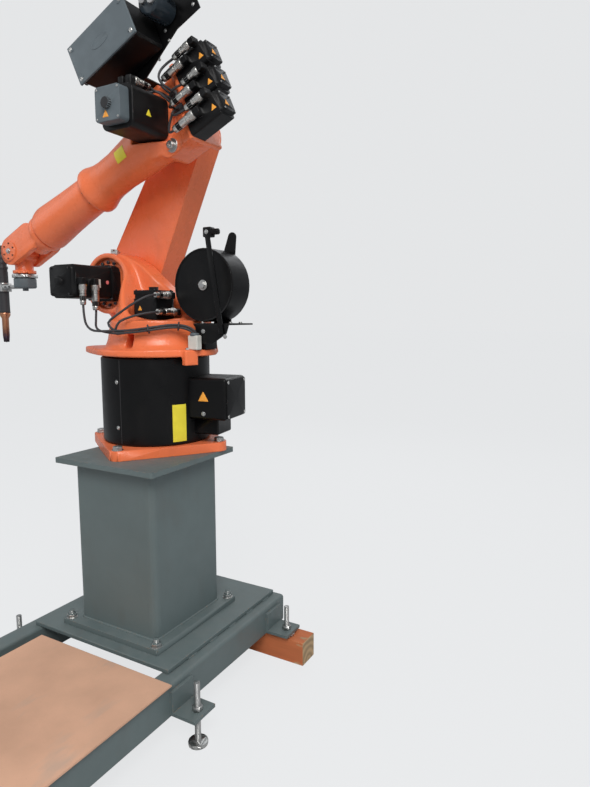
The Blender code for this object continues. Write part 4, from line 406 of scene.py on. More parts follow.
def screw(radius: float, drive: Drive = Drive.SOCKET, washer: float = 0.0) -> Shell:
    """Make a screw head that stands on Z = 0, with a chamfered rim, its drive and a washer under it.

    Args:
        radius: Radius of the head, or half its width over the flats.
        drive: What turns the screw.
        washer: Radius of the washer, or 0 for none.

    Returns:
        The shell of the head and its washer.
    """
    lift = 0.0018 if washer else 0.0
    parts = []
    if washer:
        parts.append(turned([(washer - 0.0004, -0.001), (washer, 0.0004), (washer, lift - 0.0004),
                             (washer - 0.0004, lift)], 24))
    if drive is Drive.HEX:
        tall = radius * 0.75
        parts.append(regular(6, radius, lift - 0.001, lift + tall, radius * 0.08, radius * 0.05))
        parts.append(turned([(radius * 0.95, lift + tall - 0.001),
                             (radius * 0.88, lift + tall + radius * 0.06),
                             (radius * 0.5, lift + tall + radius * 0.07)], 24))
        return joined(parts)
    tall = radius * (1.1 if drive is Drive.SOCKET else 0.6)
    hole = radius * 0.52
    around = np.linspace(0, TURN, 24, endpoint=False)
    hexagon = hole / np.cos((around % (TURN / 6)) - TURN / 12) * math.cos(TURN / 12)
    steps = [(radius, -0.001), (radius, tall - radius * 0.14), (radius * 0.86, tall), (hexagon, tall),
             (0.98 * hexagon, tall - radius * 0.55)]
    parts.append(lofted(np.stack([round_rings(reach, around, height) for reach, height in steps])))
    return joined(parts)


class Graph:
    """The nodes of one material, with the few building steps that the finishes share."""

    def __init__(self, name: str) -> None:
        """Start a material with one Principled shader."""
        self.material = bpy.data.materials.new(name)
        self.material.use_nodes = True
        self.tree = self.material.node_tree
        self.shader = self.tree.nodes["Principled BSDF"]
        self.coordinate = self.tree.nodes.new("ShaderNodeTexCoord")

    def node(self, kind: str, inputs: dict | None = None, **settings: object) -> bpy.types.Node:
        """Add a node, set its options, and give each named input a value or a link.

        Args:
            kind: Blender's name of the node type.
            inputs: Value or output socket for each input, by name or number.
            **settings: Options of the node.

        Returns:
            The new node.
        """
        made = self.tree.nodes.new(kind)
        for name, value in settings.items():
            setattr(made, name, value)
        for name, value in (inputs or {}).items():
            if isinstance(value, Socket):
                self.tree.links.new(value, made.inputs[name])
            else:
                made.inputs[name].default_value = value
        return made

    def noise(self, scale: float, detail: float = 2.0, stretch: Point = (1, 1, 1)) -> Socket:
        """Return a noise of so many cells to the metre, stretched along the axes."""
        mapped = self.node("ShaderNodeMapping",
                           {"Vector": self.coordinate.outputs["Object"], "Scale": stretch})
        made = self.node("ShaderNodeTexNoise",
                         {"Vector": mapped.outputs[0], "Scale": scale, "Detail": detail})
        return made.outputs["Fac"]

    def span(self, value: Socket, low: float, high: float, start: float = 0.0, end: float = 1.0) -> Socket:
        """Map a value from one span to another, held at its ends."""
        made = self.node("ShaderNodeMapRange", {"Value": value, "From Min": low, "From Max": high,
                                                "To Min": start, "To Max": end})
        return made.outputs["Result"]

    def product(self, first: Socket, second: object) -> Socket:
        """Multiply a value by another value or a number."""
        return self.node("ShaderNodeMath", {0: first, 1: second}, operation="MULTIPLY").outputs[0]

    def total(self, first: Socket, second: object) -> Socket:
        """Add a value to another value or a number."""
        return self.node("ShaderNodeMath", {0: first, 1: second}, operation="ADD").outputs[0]

    def blend(self, share: Socket, under: object, over: object) -> Socket:
        """Lay one colour over another by a share from 0 to 1."""
        made = self.node("ShaderNodeMix", data_type="RGBA")
        for index, value in ((0, share), (6, under), (7, over)):
            if isinstance(value, Socket):
                self.tree.links.new(value, made.inputs[index])
            else:
                made.inputs[index].default_value = (*value, 1.0)
        return made.outputs[2]

    def facing(self, low: float, high: float) -> Socket:
        """Return how far the surface faces up in the piece's own frame, between two cosines."""
        parts = self.node("ShaderNodeSeparateXYZ", {0: self.coordinate.outputs["Normal"]})
        return self.span(parts.outputs[2], low, high)

    def soft_edges(self, radius: float) -> tuple[Socket, Socket]:
        """Round the shading of sharp edges, and find those edges for their wear.

        Args:
            radius: Radius of the edges.

        Returns:
            The rounded normal, and a mask that is 1 on the edges.
        """
        bevel = self.node("ShaderNodeBevel", {"Radius": radius}, samples=6)
        plain = self.node("ShaderNodeNewGeometry")
        dot = self.node("ShaderNodeVectorMath", {0: bevel.outputs[0], 1: plain.outputs["Normal"]},
                        operation="DOT_PRODUCT")
        return bevel.outputs[0], self.span(dot.outputs["Value"], 0.995, 0.90)

    def bump(self, height: Socket, distance: float, normal: Socket | None = None) -> Socket:
        """Raise the surface's normal by a height map of so many metres."""
        inputs = {"Height": height, "Distance": distance, "Strength": 1.0}
        if normal is not None:
            inputs["Normal"] = normal
        return self.node("ShaderNodeBump", inputs).outputs[0]

    def finish(self, colour: object, roughness: object, normal: object = None, **fixed: float) -> None:
        """Link the colour, the roughness and the normal to the shader, and set its fixed values.

        Args:
            colour: A colour or the socket that gives it.
            roughness: A number or the socket that gives it.
            normal: The socket that gives the normal.
            **fixed: Constant values of the shader's sockets, with _ for a space in the name.
        """
        for name, value in (("Base Color", colour), ("Roughness", roughness), ("Normal", normal)):
            if isinstance(value, Socket):
                self.tree.links.new(value, self.shader.inputs[name])
            elif name == "Base Color":
                self.shader.inputs[name].default_value = (*value, 1.0)
            elif value is not None:
                self.shader.inputs[name].default_value = value
        for name, value in fixed.items():
            self.shader.inputs[name.replace("_", " ")].default_value = value


def shade(colour: Colour, factor: float) -> Colour:
    """Return a colour that is darker or lighter by a factor."""
    return tuple(min(1.0, part * factor) for part in colour)


@dataclass(frozen=True)
class Finish:
    """A surface finish: its material is made once, and each piece that has it shares that."""

    name: str
    slot: str
    colour: Colour
    roughness: float = 0.5

    def material(self) -> bpy.types.Material:
        """Return the finish's material, made at its first use."""
        made = bpy.data.materials.get(self.name)
        if made is None:
            graph = Graph(self.name)
            self.dress(graph)
            made = graph.material
        return made

    def dress(self, graph: Graph) -> None:
        """Build the finish's nodes."""
        graph.finish(self.colour, self.roughness)


@dataclass(frozen=True)
class Paint(Finish):
    """Sprayed paint over castings or sheet: mottled, dusty on top, chipped at its edges."""

    grain: float = 420.0
    grain_depth: float = 0.00010
    cast_depth: float = 0.0
    grime: Colour = (0.09, 0.06, 0.045)
    grime_share: float = 0.30
    dust: Colour = (0.30, 0.29, 0.27)
    dust_share: float = 0.10
    chip: Colour = (0.42, 0.40, 0.38)
    edge: float = 0.0025
    specular: float = 0.5

    def dress(self, graph: Graph) -> None:
        """Lay mottled paint, grime in cloudy patches, dust from above and chips on the edges."""
        normal, rim = graph.soft_edges(self.edge)
        cloud = graph.span(graph.noise(3.2, 3), 0.35, 0.68)
        colour = graph.blend(cloud, shade(self.colour, 0.93), shade(self.colour, 1.05))
        smear = graph.product(graph.span(graph.noise(13, 6, (1, 1, 0.45)), 0.54, 0.80), self.grime_share)
        colour = graph.blend(smear, colour, self.grime)
        settled = graph.product(graph.facing(0.35, 0.95), graph.span(graph.noise(22, 5), 0.3, 0.7))
        colour = graph.blend(graph.product(settled, self.dust_share), colour, self.dust)
        bare = graph.product(rim, graph.span(graph.noise(75, 4), 0.56, 0.62))
        colour = graph.blend(graph.product(bare, 0.8), colour, self.chip)
        rough = graph.total(graph.span(graph.noise(19, 4), 0.3, 0.7, -0.05, 0.07), self.roughness)
        rough = graph.total(rough, graph.product(settled, 0.18))
        if self.cast_depth:
            normal = graph.bump(graph.noise(85, 4), self.cast_depth, normal)
        normal = graph.bump(graph.noise(self.grain, 2), self.grain_depth, normal)
        graph.finish(colour, rough, normal, Specular_IOR_Level=self.specular)


@dataclass(frozen=True)
class Moulding(Finish):
    """Moulded plastic or rubber with a fine skin, rubbed lighter where it is handled."""

    grain: float = 650.0
    grain_depth: float = 0.00008
    rub: float = 1.25
    edge: float = 0.0015
    specular: float = 0.35

    def dress(self, graph: Graph) -> None:
        """Lay a fine grain, a cloudy bloom and paler edges."""
        normal, rim = graph.soft_edges(self.edge)
        bloom = graph.span(graph.noise(16, 5), 0.42, 0.75)
        colour = graph.blend(bloom, self.colour, shade(self.colour, 1.18))
        colour = graph.blend(graph.product(rim, 0.5), colour, shade(self.colour, self.rub))
        dusty = graph.product(graph.facing(0.4, 0.95), graph.span(graph.noise(30, 4), 0.35, 0.7))
        colour = graph.blend(graph.product(dusty, 0.09), colour, (0.30, 0.29, 0.27))
        rough = graph.total(graph.span(graph.noise(24, 4), 0.3, 0.7, -0.06, 0.08), self.roughness)
        normal = graph.bump(graph.noise(self.grain, 2), self.grain_depth, normal)
        graph.finish(colour, rough, normal, Specular_IOR_Level=self.specular)


@dataclass(frozen=True)
class Metal(Finish):
    """Bare or plated metal with fine machining lines and a dull bloom."""

    lines: Point = (1, 1, 14)
    edge: float = 0.0008

    def dress(self, graph: Graph) -> None:
        """Lay stretched lines in roughness and bump over a cloudy tone."""
        normal, rim = graph.soft_edges(self.edge)
        cloud = graph.span(graph.noise(30, 4), 0.3, 0.72)
        colour = graph.blend(cloud, shade(self.colour, 0.82), shade(self.colour, 1.06))
        colour = graph.blend(graph.product(rim, 0.35), colour, shade(self.colour, 1.25))
        brushed = graph.noise(240, 3, self.lines)
        rough = graph.total(graph.span(brushed, 0.25, 0.75, -0.07, 0.09), self.roughness)
        normal = graph.bump(brushed, 0.00004, normal)
        graph.finish(colour, rough, normal, Metallic=1.0)


@dataclass(frozen=True)
class HeatedCopper(Finish):
    """Copper of the torch's nozzle, browned and blued towards its tip."""

    tip: float = 1.323
    reach: float = 0.145

    def dress(self, graph: Graph) -> None:
        """Tint the copper by its height over the tip, broken up by a cloudy noise."""
        normal, _ = graph.soft_edges(0.0008)
        height = graph.node("ShaderNodeSeparateXYZ", {0: graph.coordinate.outputs["Object"]}).outputs[2]
        wander = graph.span(graph.noise(55, 4), 0.3, 0.7, -0.012, 0.012)
        level = graph.span(graph.total(height, wander), self.tip, self.tip + self.reach)
        ramp = graph.node("ShaderNodeValToRGB", {0: level})
        stops = ((0.0, (0.035, 0.030, 0.028)), (0.16, (0.10, 0.07, 0.10)), (0.30, (0.25, 0.12, 0.09)),
                 (0.55, self.colour), (1.0, shade(self.colour, 1.15)))
        for index, (place, colour) in enumerate(stops):
            stop = ramp.color_ramp.elements[index] if index < 2 else ramp.color_ramp.elements.new(place)
            stop.position = place
            stop.color = (*colour, 1.0)
        rough = graph.span(graph.noise(90, 4), 0.3, 0.7, self.roughness - 0.08, self.roughness + 0.12)
        normal = graph.bump(graph.noise(260, 3), 0.00005, normal)
        graph.finish(ramp.outputs[0], rough, normal, Metallic=1.0)


@dataclass(frozen=True)
class Timber(Finish):
    """Squared timber with worn paint on its long sides and bare wood at its sawn ends."""

    bare: Colour = (0.52, 0.35, 0.19)
    end: float = 0.5585

    def dress(self, graph: Graph) -> None:
        """Lay long grain, paint that is scuffed through it, and rings on the ends."""
        normal, rim = graph.soft_edges(0.003)
        parts = graph.node("ShaderNodeSeparateXYZ", {0: graph.coordinate.outputs["Object"]})
        away = graph.node("ShaderNodeMath", {0: parts.outputs[0]}, operation="ABSOLUTE").outputs[0]
        sawn = graph.span(away, self.end, self.end + 0.0005)
        grain = graph.noise(34, 6, (0.12, 1, 1))
        rings = graph.node("ShaderNodeTexWave", {"Vector": graph.coordinate.outputs["Object"], "Scale": 11.0,
                                                 "Distortion": 4.0, "Detail": 3.0},
                           wave_type="RINGS", rings_direction="X").outputs["Fac"]
        wood = graph.blend(graph.span(grain, 0.3, 0.7), shade(self.bare, 0.72), shade(self.bare, 1.1))
        wood_end = graph.blend(rings, shade(self.bare, 0.62), self.bare)
        painted = graph.blend(graph.span(grain, 0.35, 0.65), shade(self.colour, 0.85), self.colour)
        worn = graph.span(graph.total(graph.noise(26, 6, (0.5, 1, 1)), graph.product(rim, 0.16)), 0.60, 0.68)
        colour = graph.blend(sawn, graph.blend(worn, painted, wood), wood_end)
        normal = graph.bump(grain, 0.0007, normal)
        graph.finish(colour, 0.72, normal)


@dataclass(frozen=True)
class Board(Finish):
    """Painted fibre board, scuffed and speckled."""

    def dress(self, graph: Graph) -> None:
        """Lay a speckle of fibres and broad scuffs over the paint."""
        normal, rim = graph.soft_edges(0.002)
        cloud = graph.span(graph.noise(5, 5), 0.35, 0.68)
        colour = graph.blend(cloud, shade(self.colour, 0.88), shade(self.colour, 1.06))
        speck = graph.span(graph.noise(420, 3), 0.60, 0.70)
        colour = graph.blend(graph.product(speck, 0.35), colour, shade(self.colour, 0.55))
        scuff = graph.span(graph.noise(11, 6, (1, 0.3, 1)), 0.60, 0.72)
        colour = graph.blend(graph.product(scuff, 0.4), colour, (0.42, 0.36, 0.31))
        colour = graph.blend(graph.product(rim, 0.5), colour, shade(self.colour, 0.6))
        graph.finish(colour, 0.8, graph.bump(graph.noise(300, 3), 0.0001, normal))


ORANGE = Paint("sprayed orange casting paint", "orange_paint", (0.93, 0.205, 0.075), 0.27,
               grain=360.0, grain_depth=0.00010, cast_depth=0.0007, grime_share=0.13, dust_share=0.04,
               chip=(0.50, 0.30, 0.22), edge=0.004)
BLACK = Paint("satin black paint", "black_paint", (0.0042, 0.0042, 0.0046), 0.32,
              grime=(0.020, 0.019, 0.017), dust=(0.10, 0.097, 0.093), chip=(0.12, 0.12, 0.12),
              dust_share=0.03, specular=0.22)
MOTOR_BLACK = Paint("ribbed black motor paint", "black_paint", (0.0060, 0.0060, 0.0066), 0.40,
                    grain=520.0, grain_depth=0.00018, grime=(0.030, 0.028, 0.025), dust=(0.12, 0.115, 0.11),
                    chip=(0.20, 0.20, 0.20), dust_share=0.07, specular=0.22)
GREY_GREEN = Paint("grey green frame paint", "grey_green_paint", (0.125, 0.162, 0.164), 0.46,
                   grain=300.0, grain_depth=0.00014, grime_share=0.16, dust_share=0.12,
                   chip=(0.30, 0.18, 0.10), edge=0.003)
GREY_COVER = Moulding("blue grey moulded cover", "grey_cover", (0.105, 0.128, 0.142), 0.46)
DARK_PLASTIC = Moulding("dark moulded plastic", "black_paint", (0.022, 0.022, 0.024), 0.55)
PLUG_BLACK = Moulding("black plug moulding", "black_paint", (0.016, 0.016, 0.017), 0.50, edge=0.001)
RUBBER = Moulding("matt lead jacket", "rubber", (0.042, 0.042, 0.046), 0.48, grain=900.0)
WHITE_PLASTIC = Moulding("aged white plastic", "white_plastic", (0.62, 0.61, 0.56), 0.50, rub=1.1)
SMOKED = Moulding("smoked roller guard", "grey_cover", (0.020, 0.028, 0.036), 0.16, grain_depth=0.00001)
STEEL = Metal("zinc plated steel", "steel", (0.56, 0.56, 0.55), 0.38)
SILVER = Metal("nickel plated plug shell", "steel", (0.66, 0.65, 0.62), 0.30, lines=(1, 1, 4))
DARK_STEEL = Metal("blackened steel", "black_paint", (0.09, 0.09, 0.095), 0.45)
COPPER = HeatedCopper("heat tinted copper", "copper", (0.56, 0.26, 0.15), 0.34)
TIMBER = Timber("worn painted timber", "timber", (0.60, 0.17, 0.06))
BOARD = Board("scuffed peach board", "peach_board", (0.72, 0.42, 0.28))
YELLOW_MARK = Moulding("plain yellow marker", "grey_cover", (0.86, 0.72, 0.05), 0.42, rub=0.8)
ORANGE_MARK = Moulding("plain orange marker", "orange_paint", (0.88, 0.36, 0.05), 0.42, rub=0.8)
PINK_MARK = Moulding("plain pink marker", "orange_paint", (0.80, 0.20, 0.20), 0.45, rub=0.8)


def put_mesh(name: str, mesh: bpy.types.Mesh, finish: Finish, body: Body, angle: float) -> bpy.types.Object:
    """Shade a mesh smoothly, give it its finish and let it ride on its body.

    Args:
        name: Name of the piece.
        mesh: Its mesh.
        finish: Its finish.
        body: The body that carries it.
        angle: Edges sharper than this many degrees stay sharp.

    Returns:
        The new object.
    """
    mesh.shade_smooth()
    mesh.set_sharp_from_angle(angle=math.radians(angle))
    mesh.materials.clear()
    mesh.materials.append(finish.material())
    piece = bpy.data.objects.new(name, mesh)
    bpy.context.scene.collection.objects.link(piece)
    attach(piece, body.value)
    LOG.info("made %s: %d faces in %s", name, len(mesh.polygons), finish.name)
    return piece


def new_piece(name: str, shell: Shell, finish: Finish, body: Body, angle: float = 32.0) -> bpy.types.Object:
    """Make a new piece of a shell.

    Args:
        name: Name of the piece.
        shell: Its surface, in the model's frame.
        finish: Its finish.
        body: The body that carries it.
        angle: Edges sharper than this many degrees stay sharp.

    Returns:
        The new object.
    """
    mesh = bpy.data.meshes.new(name)
    mesh.from_pydata(shell.points.tolist(), [], shell.quads.tolist() + shell.triangles.tolist())
    return put_mesh(name, mesh, finish, body, angle)


def dress_node(node: str, finish: Finish) -> None:
    """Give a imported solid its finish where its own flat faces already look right."""
    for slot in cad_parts[node].material_slots:
        slot.material = finish.material()
    LOG.info("dressed %s in %s", node, finish.name)


def smooth_skin(node: str, finish: Finish, body: Body, angle: float = 33.0) -> None:
    """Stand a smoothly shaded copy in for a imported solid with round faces.

    Args:
        node: Name of the solid.
        finish: Finish of the copy.
        body: The body that carries it.
        angle: Edges sharper than this many degrees stay sharp.
    """
    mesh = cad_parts[node].data.copy()
    made = bmesh.new()
    made.from_mesh(mesh)
    bmesh.ops.remove_doubles(made, verts=made.verts, dist=0.00002)
    made.to_mesh(mesh)
    made.free()
    piece = put_mesh(node + "_skin", mesh, finish, body, angle)
    piece.modifiers.new("even shading", "WEIGHTED_NORMAL").keep_sharp = True
    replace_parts(piece, node)


class Solid:
    """Signed distances on a grid of points: below 0 inside a shape, above 0 outside it."""

    def __init__(self, low: Point, high: Point, step: float) -> None:
        """Lay the grid.

        Args:
            low: Lowest corner, well outside the shape.
            high: Highest corner, well outside the shape.
            step: Distance between grid points.
        """
        self.low, self.step = np.asarray(low, float), step
        lines = [np.arange(a, b, step) for a, b in zip(low, high)]
        self.x, self.y, self.z = np.meshgrid(*lines, indexing="ij", sparse=True)

    def rod(self, axis: str, centre: Pair, radius: object, low: float, high: float,
            corner: float = 0.0) -> np.ndarray:
        """Return the distance to a round rod: |max(q, 0)| + min(max q, 0) - r, for q = (radial, lengthwise).

        Args:
            axis: Axis of the rod, x, y or z.
            centre: Its place on the other two axes, in their order.
            radius: Its radius, a number or one for each grid point along the axis.
            low: Lower end.
            high: Upper end.
            corner: Radius r that its two rims are rounded with.

        Returns:
            The signed distances.
        """
        along = {"x": self.x, "y": self.y, "z": self.z}[axis]
        first, second = {"x": (self.y, self.z), "y": (self.x, self.z), "z": (self.x, self.y)}[axis]
        radial = np.hypot(first - centre[0], second - centre[1]) - radius + corner
        ends = np.maximum(low - along, along - high) + corner
        outside = np.hypot(np.maximum(radial, 0), np.maximum(ends, 0))
        return outside + np.minimum(np.maximum(radial, ends), 0) - corner

    def block(self, low: Point, high: Point, corner: float) -> np.ndarray:
        """Return the distance to a box with round edges: |max(q, 0)| + min(max q, 0) - r."""
        parts = [np.maximum(a + corner - p, p - b + corner)
                 for p, a, b in zip((self.x, self.y, self.z), low, high)]
        outside = np.sqrt(sum(np.maximum(part, 0) ** 2 for part in parts))
        return outside + np.minimum(np.maximum(np.maximum(*parts[:2]), parts[2]), 0) - corner

    def prism(self, axis: str, outline: np.ndarray, low: float, high: float) -> np.ndarray:
        """Return the distance to an outline carried along an axis.

        The distance in the outline's plane is that to its nearest edge, and a point is inside where a
        ray from it crosses an odd number of edges.

        Args:
            axis: Axis that the outline is carried along, y or z.
            outline: Corners of the outline, shaped (corners, 2).
            low: Lower end.
            high: Upper end.

        Returns:
            The signed distances.
        """
        along, second = (self.y, self.z) if axis == "y" else (self.z, self.y)
        u, v = (part[..., None] for part in np.broadcast_arrays(self.x, second))
        start, end = outline, np.roll(outline, -1, 0)
        run = end - start
        share = ((u - start[:, 0]) * run[:, 0] + (v - start[:, 1]) * run[:, 1]) / (run ** 2).sum(1)
        share = np.clip(share, 0, 1)
        away = np.hypot(u - start[:, 0] - share * run[:, 0], v - start[:, 1] - share * run[:, 1]).min(-1)
        rise = np.where(run[:, 1] == 0, 1e-12, run[:, 1])
        beside = u < start[:, 0] + run[:, 0] * (v - start[:, 1]) / rise
        met = ((start[:, 1] > v) != (end[:, 1] > v)) & beside
        away = np.where(met.sum(-1) % 2 == 1, -away, away)
        return np.maximum(away, np.maximum(low - along, along - high))

    def belt(self, circles: tuple[Circle, ...], low: float, high: float, top: Pair = (0, 0),
             shrink: float = 0.0) -> np.ndarray:
        """Return the distance to an upright plate whose outline is a belt round circles.

        For a direction n the belt reaches h = max(c . n + r), and the distance is the largest
        p . n - h over all directions. With a shrink, the outline narrows towards a point as it rises.

        Args:
            circles: Centre and radius of each circle.
            low: Lower face.
            high: Upper face.
            top: Point that the outline narrows towards.
            shrink: Share that the outline loses from the lower to the upper face.

        Returns:
            The signed distances.
        """
        scale = 1 - shrink * np.clip((self.z - low) / (high - low), 0, 1)
        u = top[0] + (self.x - top[0]) / scale
        v = top[1] + (self.y - top[1]) / scale
        away = np.full(np.broadcast_shapes(u.shape, v.shape), -1.0)
        for angle in np.linspace(0, TURN, 72, endpoint=False):
            n = (math.cos(angle), math.sin(angle))
            reach = max(x * n[0] + y * n[1] + r for x, y, r in circles)
            away = np.maximum(away, u * n[0] + v * n[1] - reach)
        return np.maximum(away * scale, np.maximum(low - self.z, self.z - high))

    def spoke(self, azimuth: float, half: float, reach: Pair, height: Pair) -> np.ndarray:
        """Return the distance to a sharp box that points away from the grid's Z axis.

        Args:
            azimuth: Direction that the box points in, seen from above.
            half: Half its width.
            reach: Distances of its inner and its outer face from the axis.
            height: Heights of its lower and its upper face.

        Returns:
            The signed distances.
        """
        out = self.x * math.cos(azimuth) + self.y * math.sin(azimuth)
        side = self.y * math.cos(azimuth) - self.x * math.sin(azimuth)
        away = np.maximum(np.abs(side) - half, np.maximum(reach[0] - out, out - reach[1]))
        return np.maximum(away, np.maximum(height[0] - self.z, self.z - height[1]))

    def skin(self, distance: np.ndarray) -> Shell:
        """Wrap the shape where its distance is 0.

        Each cell of the grid that the surface passes through gets one point, the mean of the places
        where it crosses the cell's edges, and each crossed edge gets a face of the four cells round it.

        Args:
            distance: Signed distances on the whole grid.

        Returns:
            The closed shell.
        """
        inside = distance < 0
        cells = np.zeros(distance.shape + (4,))
        faces = []
        for axis in range(3):
            here = [slice(None)] * 3
            there = [slice(None)] * 3
            here[axis], there[axis] = slice(0, -1), slice(1, None)
            first, second = distance[tuple(here)], distance[tuple(there)]
            edge = np.argwhere(inside[tuple(here)] != inside[tuple(there)])
            a, b = first[tuple(edge.T)], second[tuple(edge.T)]
            crossing = edge.astype(float)
            crossing[:, axis] += a / (a - b)
            u, v = (axis + 1) % 3, (axis + 2) % 3
            around = []
            for du, dv in ((0, 0), (-1, 0), (-1, -1), (0, -1)):
                cell = edge.copy()
                cell[:, u] += du
                cell[:, v] += dv
                np.add.at(cells, tuple(cell.T), np.column_stack([crossing, np.ones(len(edge))]))
                around.append(np.ravel_multi_index(tuple(cell.T), distance.shape))
            face = np.stack(around, -1)
            face[a > 0] = face[a > 0][:, ::-1]
            faces.append(face)
        flat = cells.reshape(-1, 4)
        used = np.flatnonzero(flat[:, 3])
        number = np.zeros(len(flat), int)
        number[used] = np.arange(len(used))
        points = self.low + self.step * flat[used, :3] / flat[used, 3:]
        return Shell(points, number[np.concatenate(faces)])


def melt(first: np.ndarray, second: np.ndarray, width: float) -> np.ndarray:
    """Join two shapes with a fillet of width w: min(a, b) - h^2 w / 4, for h = max(w - |a - b|, 0) / w."""
    near = np.maximum(width - np.abs(first - second), 0) / width
    return np.minimum(first, second) - near * near * width / 4


def carve(body: np.ndarray, tool: np.ndarray, width: float) -> np.ndarray:
    """Cut a shape out of another and round the cut's rim over a width."""
    return -melt(-body, tool, width)


def flowing(points: tuple[Pair, ...], per_span: int = 6) -> np.ndarray:
    """Run a smooth curve through points: p(t) is the cubic whose slope at a point is (next - last) / 2.

    Args:
        points: Points of the curve.
        per_span: Steps between two points.

    Returns:
        Points of the curve, shaped (steps, 2).
    """
    knots = np.asarray(points, float)
    slope = np.gradient(knots, axis=0)
    t = np.linspace(0, 1, per_span, endpoint=False)[None, :, None]
    start, end = knots[:-1, None], knots[1:, None]
    curve = ((2 * t ** 3 - 3 * t ** 2 + 1) * start + (t ** 3 - 2 * t ** 2 + t) * slope[:-1, None]
             + (3 * t ** 2 - 2 * t ** 3) * end + (t ** 3 - t ** 2) * slope[1:, None])
    return np.concatenate([curve.reshape(-1, 2), knots[-1:]])


def replace_node(node: str, shell: Shell, finish: Finish, body: Body) -> None:
    """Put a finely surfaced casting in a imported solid's place."""
    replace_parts(new_piece(node + "_skin", shell, finish, body, 60.0), node)


@dataclass
class ColumnCasting:
    """The cast column: round flange, flared bowl, leaning shoulder, housing of axis 2 and pocket."""

    step: float = 0.0044
    grid_low: Point = (-0.312, -0.262, 0.335)
    grid_high: Point = (0.415, 0.262, 0.830)
    flange_z: Pair = (0.3855, 0.4095)
    flange_circles: tuple[Circle, ...] = ((0, 0, 0.2385), (0.262, 0, 0.0985), (-0.200, 0, 0.0865))
    flange_fillet: float = 0.020
    bowl_z: Pair = (0.390, 0.520)
    bowl_heights: tuple[float, ...] = (0.385, 0.412, 0.426, 0.445, 0.470, 0.520)
    bowl_radii: tuple[float, ...] = (0.224, 0.217, 0.205, 0.197, 0.193, 0.189)
    bowl_centre: Pair = (-0.016, -0.006)
    form_fillet: float = 0.034
    lean_z: Pair = (0.405, 0.840)
    lean_circles: tuple[Circle, ...] = ((-0.010, -0.004, 0.194), (0.168, -0.054, 0.080))
    lean_top: Pair = (0.120, -0.050)
    lean_shrink: float = 0.70
    shoulder_y: Pair = (-0.080, 0.216)
    shoulder_front: tuple[Pair, ...] = ((0.260, 0.395), (0.296, 0.545), (0.262, 0.620))
    shoulder_flow: tuple[Pair, ...] = (
        (0.236, 0.776), (0.150, 0.722), (0.098, 0.640), (0.040, 0.562), (-0.040, 0.532),
        (-0.130, 0.526), (-0.205, 0.508))
    shoulder_end: Pair = (-0.236, 0.395)
    shoulder_rim: float = 0.020
    web_y: Pair = (-0.123, -0.040)
    web_front: tuple[Pair, ...] = ((0.262, 0.400), (0.285, 0.470), (0.292, 0.560), (0.318, 0.650))
    web_slope: tuple[Pair, ...] = (
        (0.260, 0.797), (0.196, 0.789), (0.110, 0.752), (0.030, 0.688), (-0.060, 0.618),
        (-0.140, 0.562), (-0.1927, 0.520))
    web_end: Pair = (-0.222, 0.395)
    housing: Pair = (0.260, 0.675)
    housing_radius: float = 0.1275
    housing_y: Pair = (-0.1245, 0.0055)
    housing_fillet: float = 0.024
    recess_radius: float = 0.106
    recess_y: Pair = (-0.0165, 0.2)
    recess_rim: float = 0.006
    pocket_x: Pair = (-0.124, 0.062)
    pocket_y: Pair = (-0.056, 0.118)
    pocket_z: Pair = (0.450, 1.0)
    pocket_corner: float = 0.062
    pocket_edge: float = 0.055
    pocket_rim: float = 0.016
    slot_azimuth: float = math.radians(103)
    slot_half: float = 0.0145
    slot_reach: Pair = (0.126, 0.6)
    slot_z: Pair = (0.416, 0.468)
    slot_rim: float = 0.008
    lug_azimuth: float = math.radians(161)
    lug_half: float = 0.0275
    lug_reach: Pair = (0.246, 0.277)
    lug_z: Pair = (0.352, 0.4095)
    lug_fillet: float = 0.006

    def shell(self) -> Shell:
        """Wrap the casting, with the lug that carries its stop screw."""
        grid = Solid(self.grid_low, self.grid_high, self.step)
        shape = self.hollowed(grid, self.solid(grid))
        lug = grid.spoke(self.lug_azimuth, self.lug_half, self.lug_reach, self.lug_z)
        return grid.skin(melt(shape, lug, self.lug_fillet)).moved(COLUMN)

    def solid(self, grid: Solid) -> np.ndarray:
        """Melt the web, the housing, the shoulder, the bowl and the flange together."""
        web_line = np.concatenate([flowing(self.web_front), flowing(self.web_slope), [self.web_end]])
        web = grid.prism("y", web_line, *self.web_y)
        housing = grid.rod("y", self.housing, self.housing_radius, *self.housing_y)
        radius = np.interp(grid.z, self.bowl_heights, self.bowl_radii)
        bowl = grid.rod("z", self.bowl_centre, radius, *self.bowl_z)
        flange = grid.belt(self.flange_circles, *self.flange_z)
        shape = melt(melt(web, housing, self.housing_fillet), self.shoulder(grid), self.form_fillet)
        return melt(melt(shape, bowl, self.form_fillet), flange, self.flange_fillet)

    def shoulder(self, grid: Solid) -> np.ndarray:
        """Return the shoulder, a block that narrows as it rises, cut off along its flowing top."""
        line = np.concatenate([self.shoulder_front, flowing(self.shoulder_flow), [self.shoulder_end]])
        block = grid.belt(self.lean_circles, *self.lean_z, self.lean_top, self.lean_shrink)
        return carve(block, -grid.prism("y", line, *self.shoulder_y), self.shoulder_rim)

    def hollowed(self, grid: Solid, shape: np.ndarray) -> np.ndarray:
        """Carve the pocket, the recess in the housing and the slot of the leads out of a shape."""
        low, high = zip(self.pocket_x, self.pocket_y, self.pocket_z)
        pocket = grid.block(low, high, self.pocket_edge)
        corners = grid.prism("z", self.pocket_outline(), *self.pocket_z)
        shape = carve(shape, np.maximum(pocket, corners), self.pocket_rim)
        recess = grid.rod("y", self.housing, self.recess_radius, *self.recess_y)
        shape = carve(shape, recess, self.recess_rim)
        slot = grid.spoke(self.slot_azimuth, self.slot_half, self.slot_reach, self.slot_z)
        return carve(shape, slot, self.slot_rim)

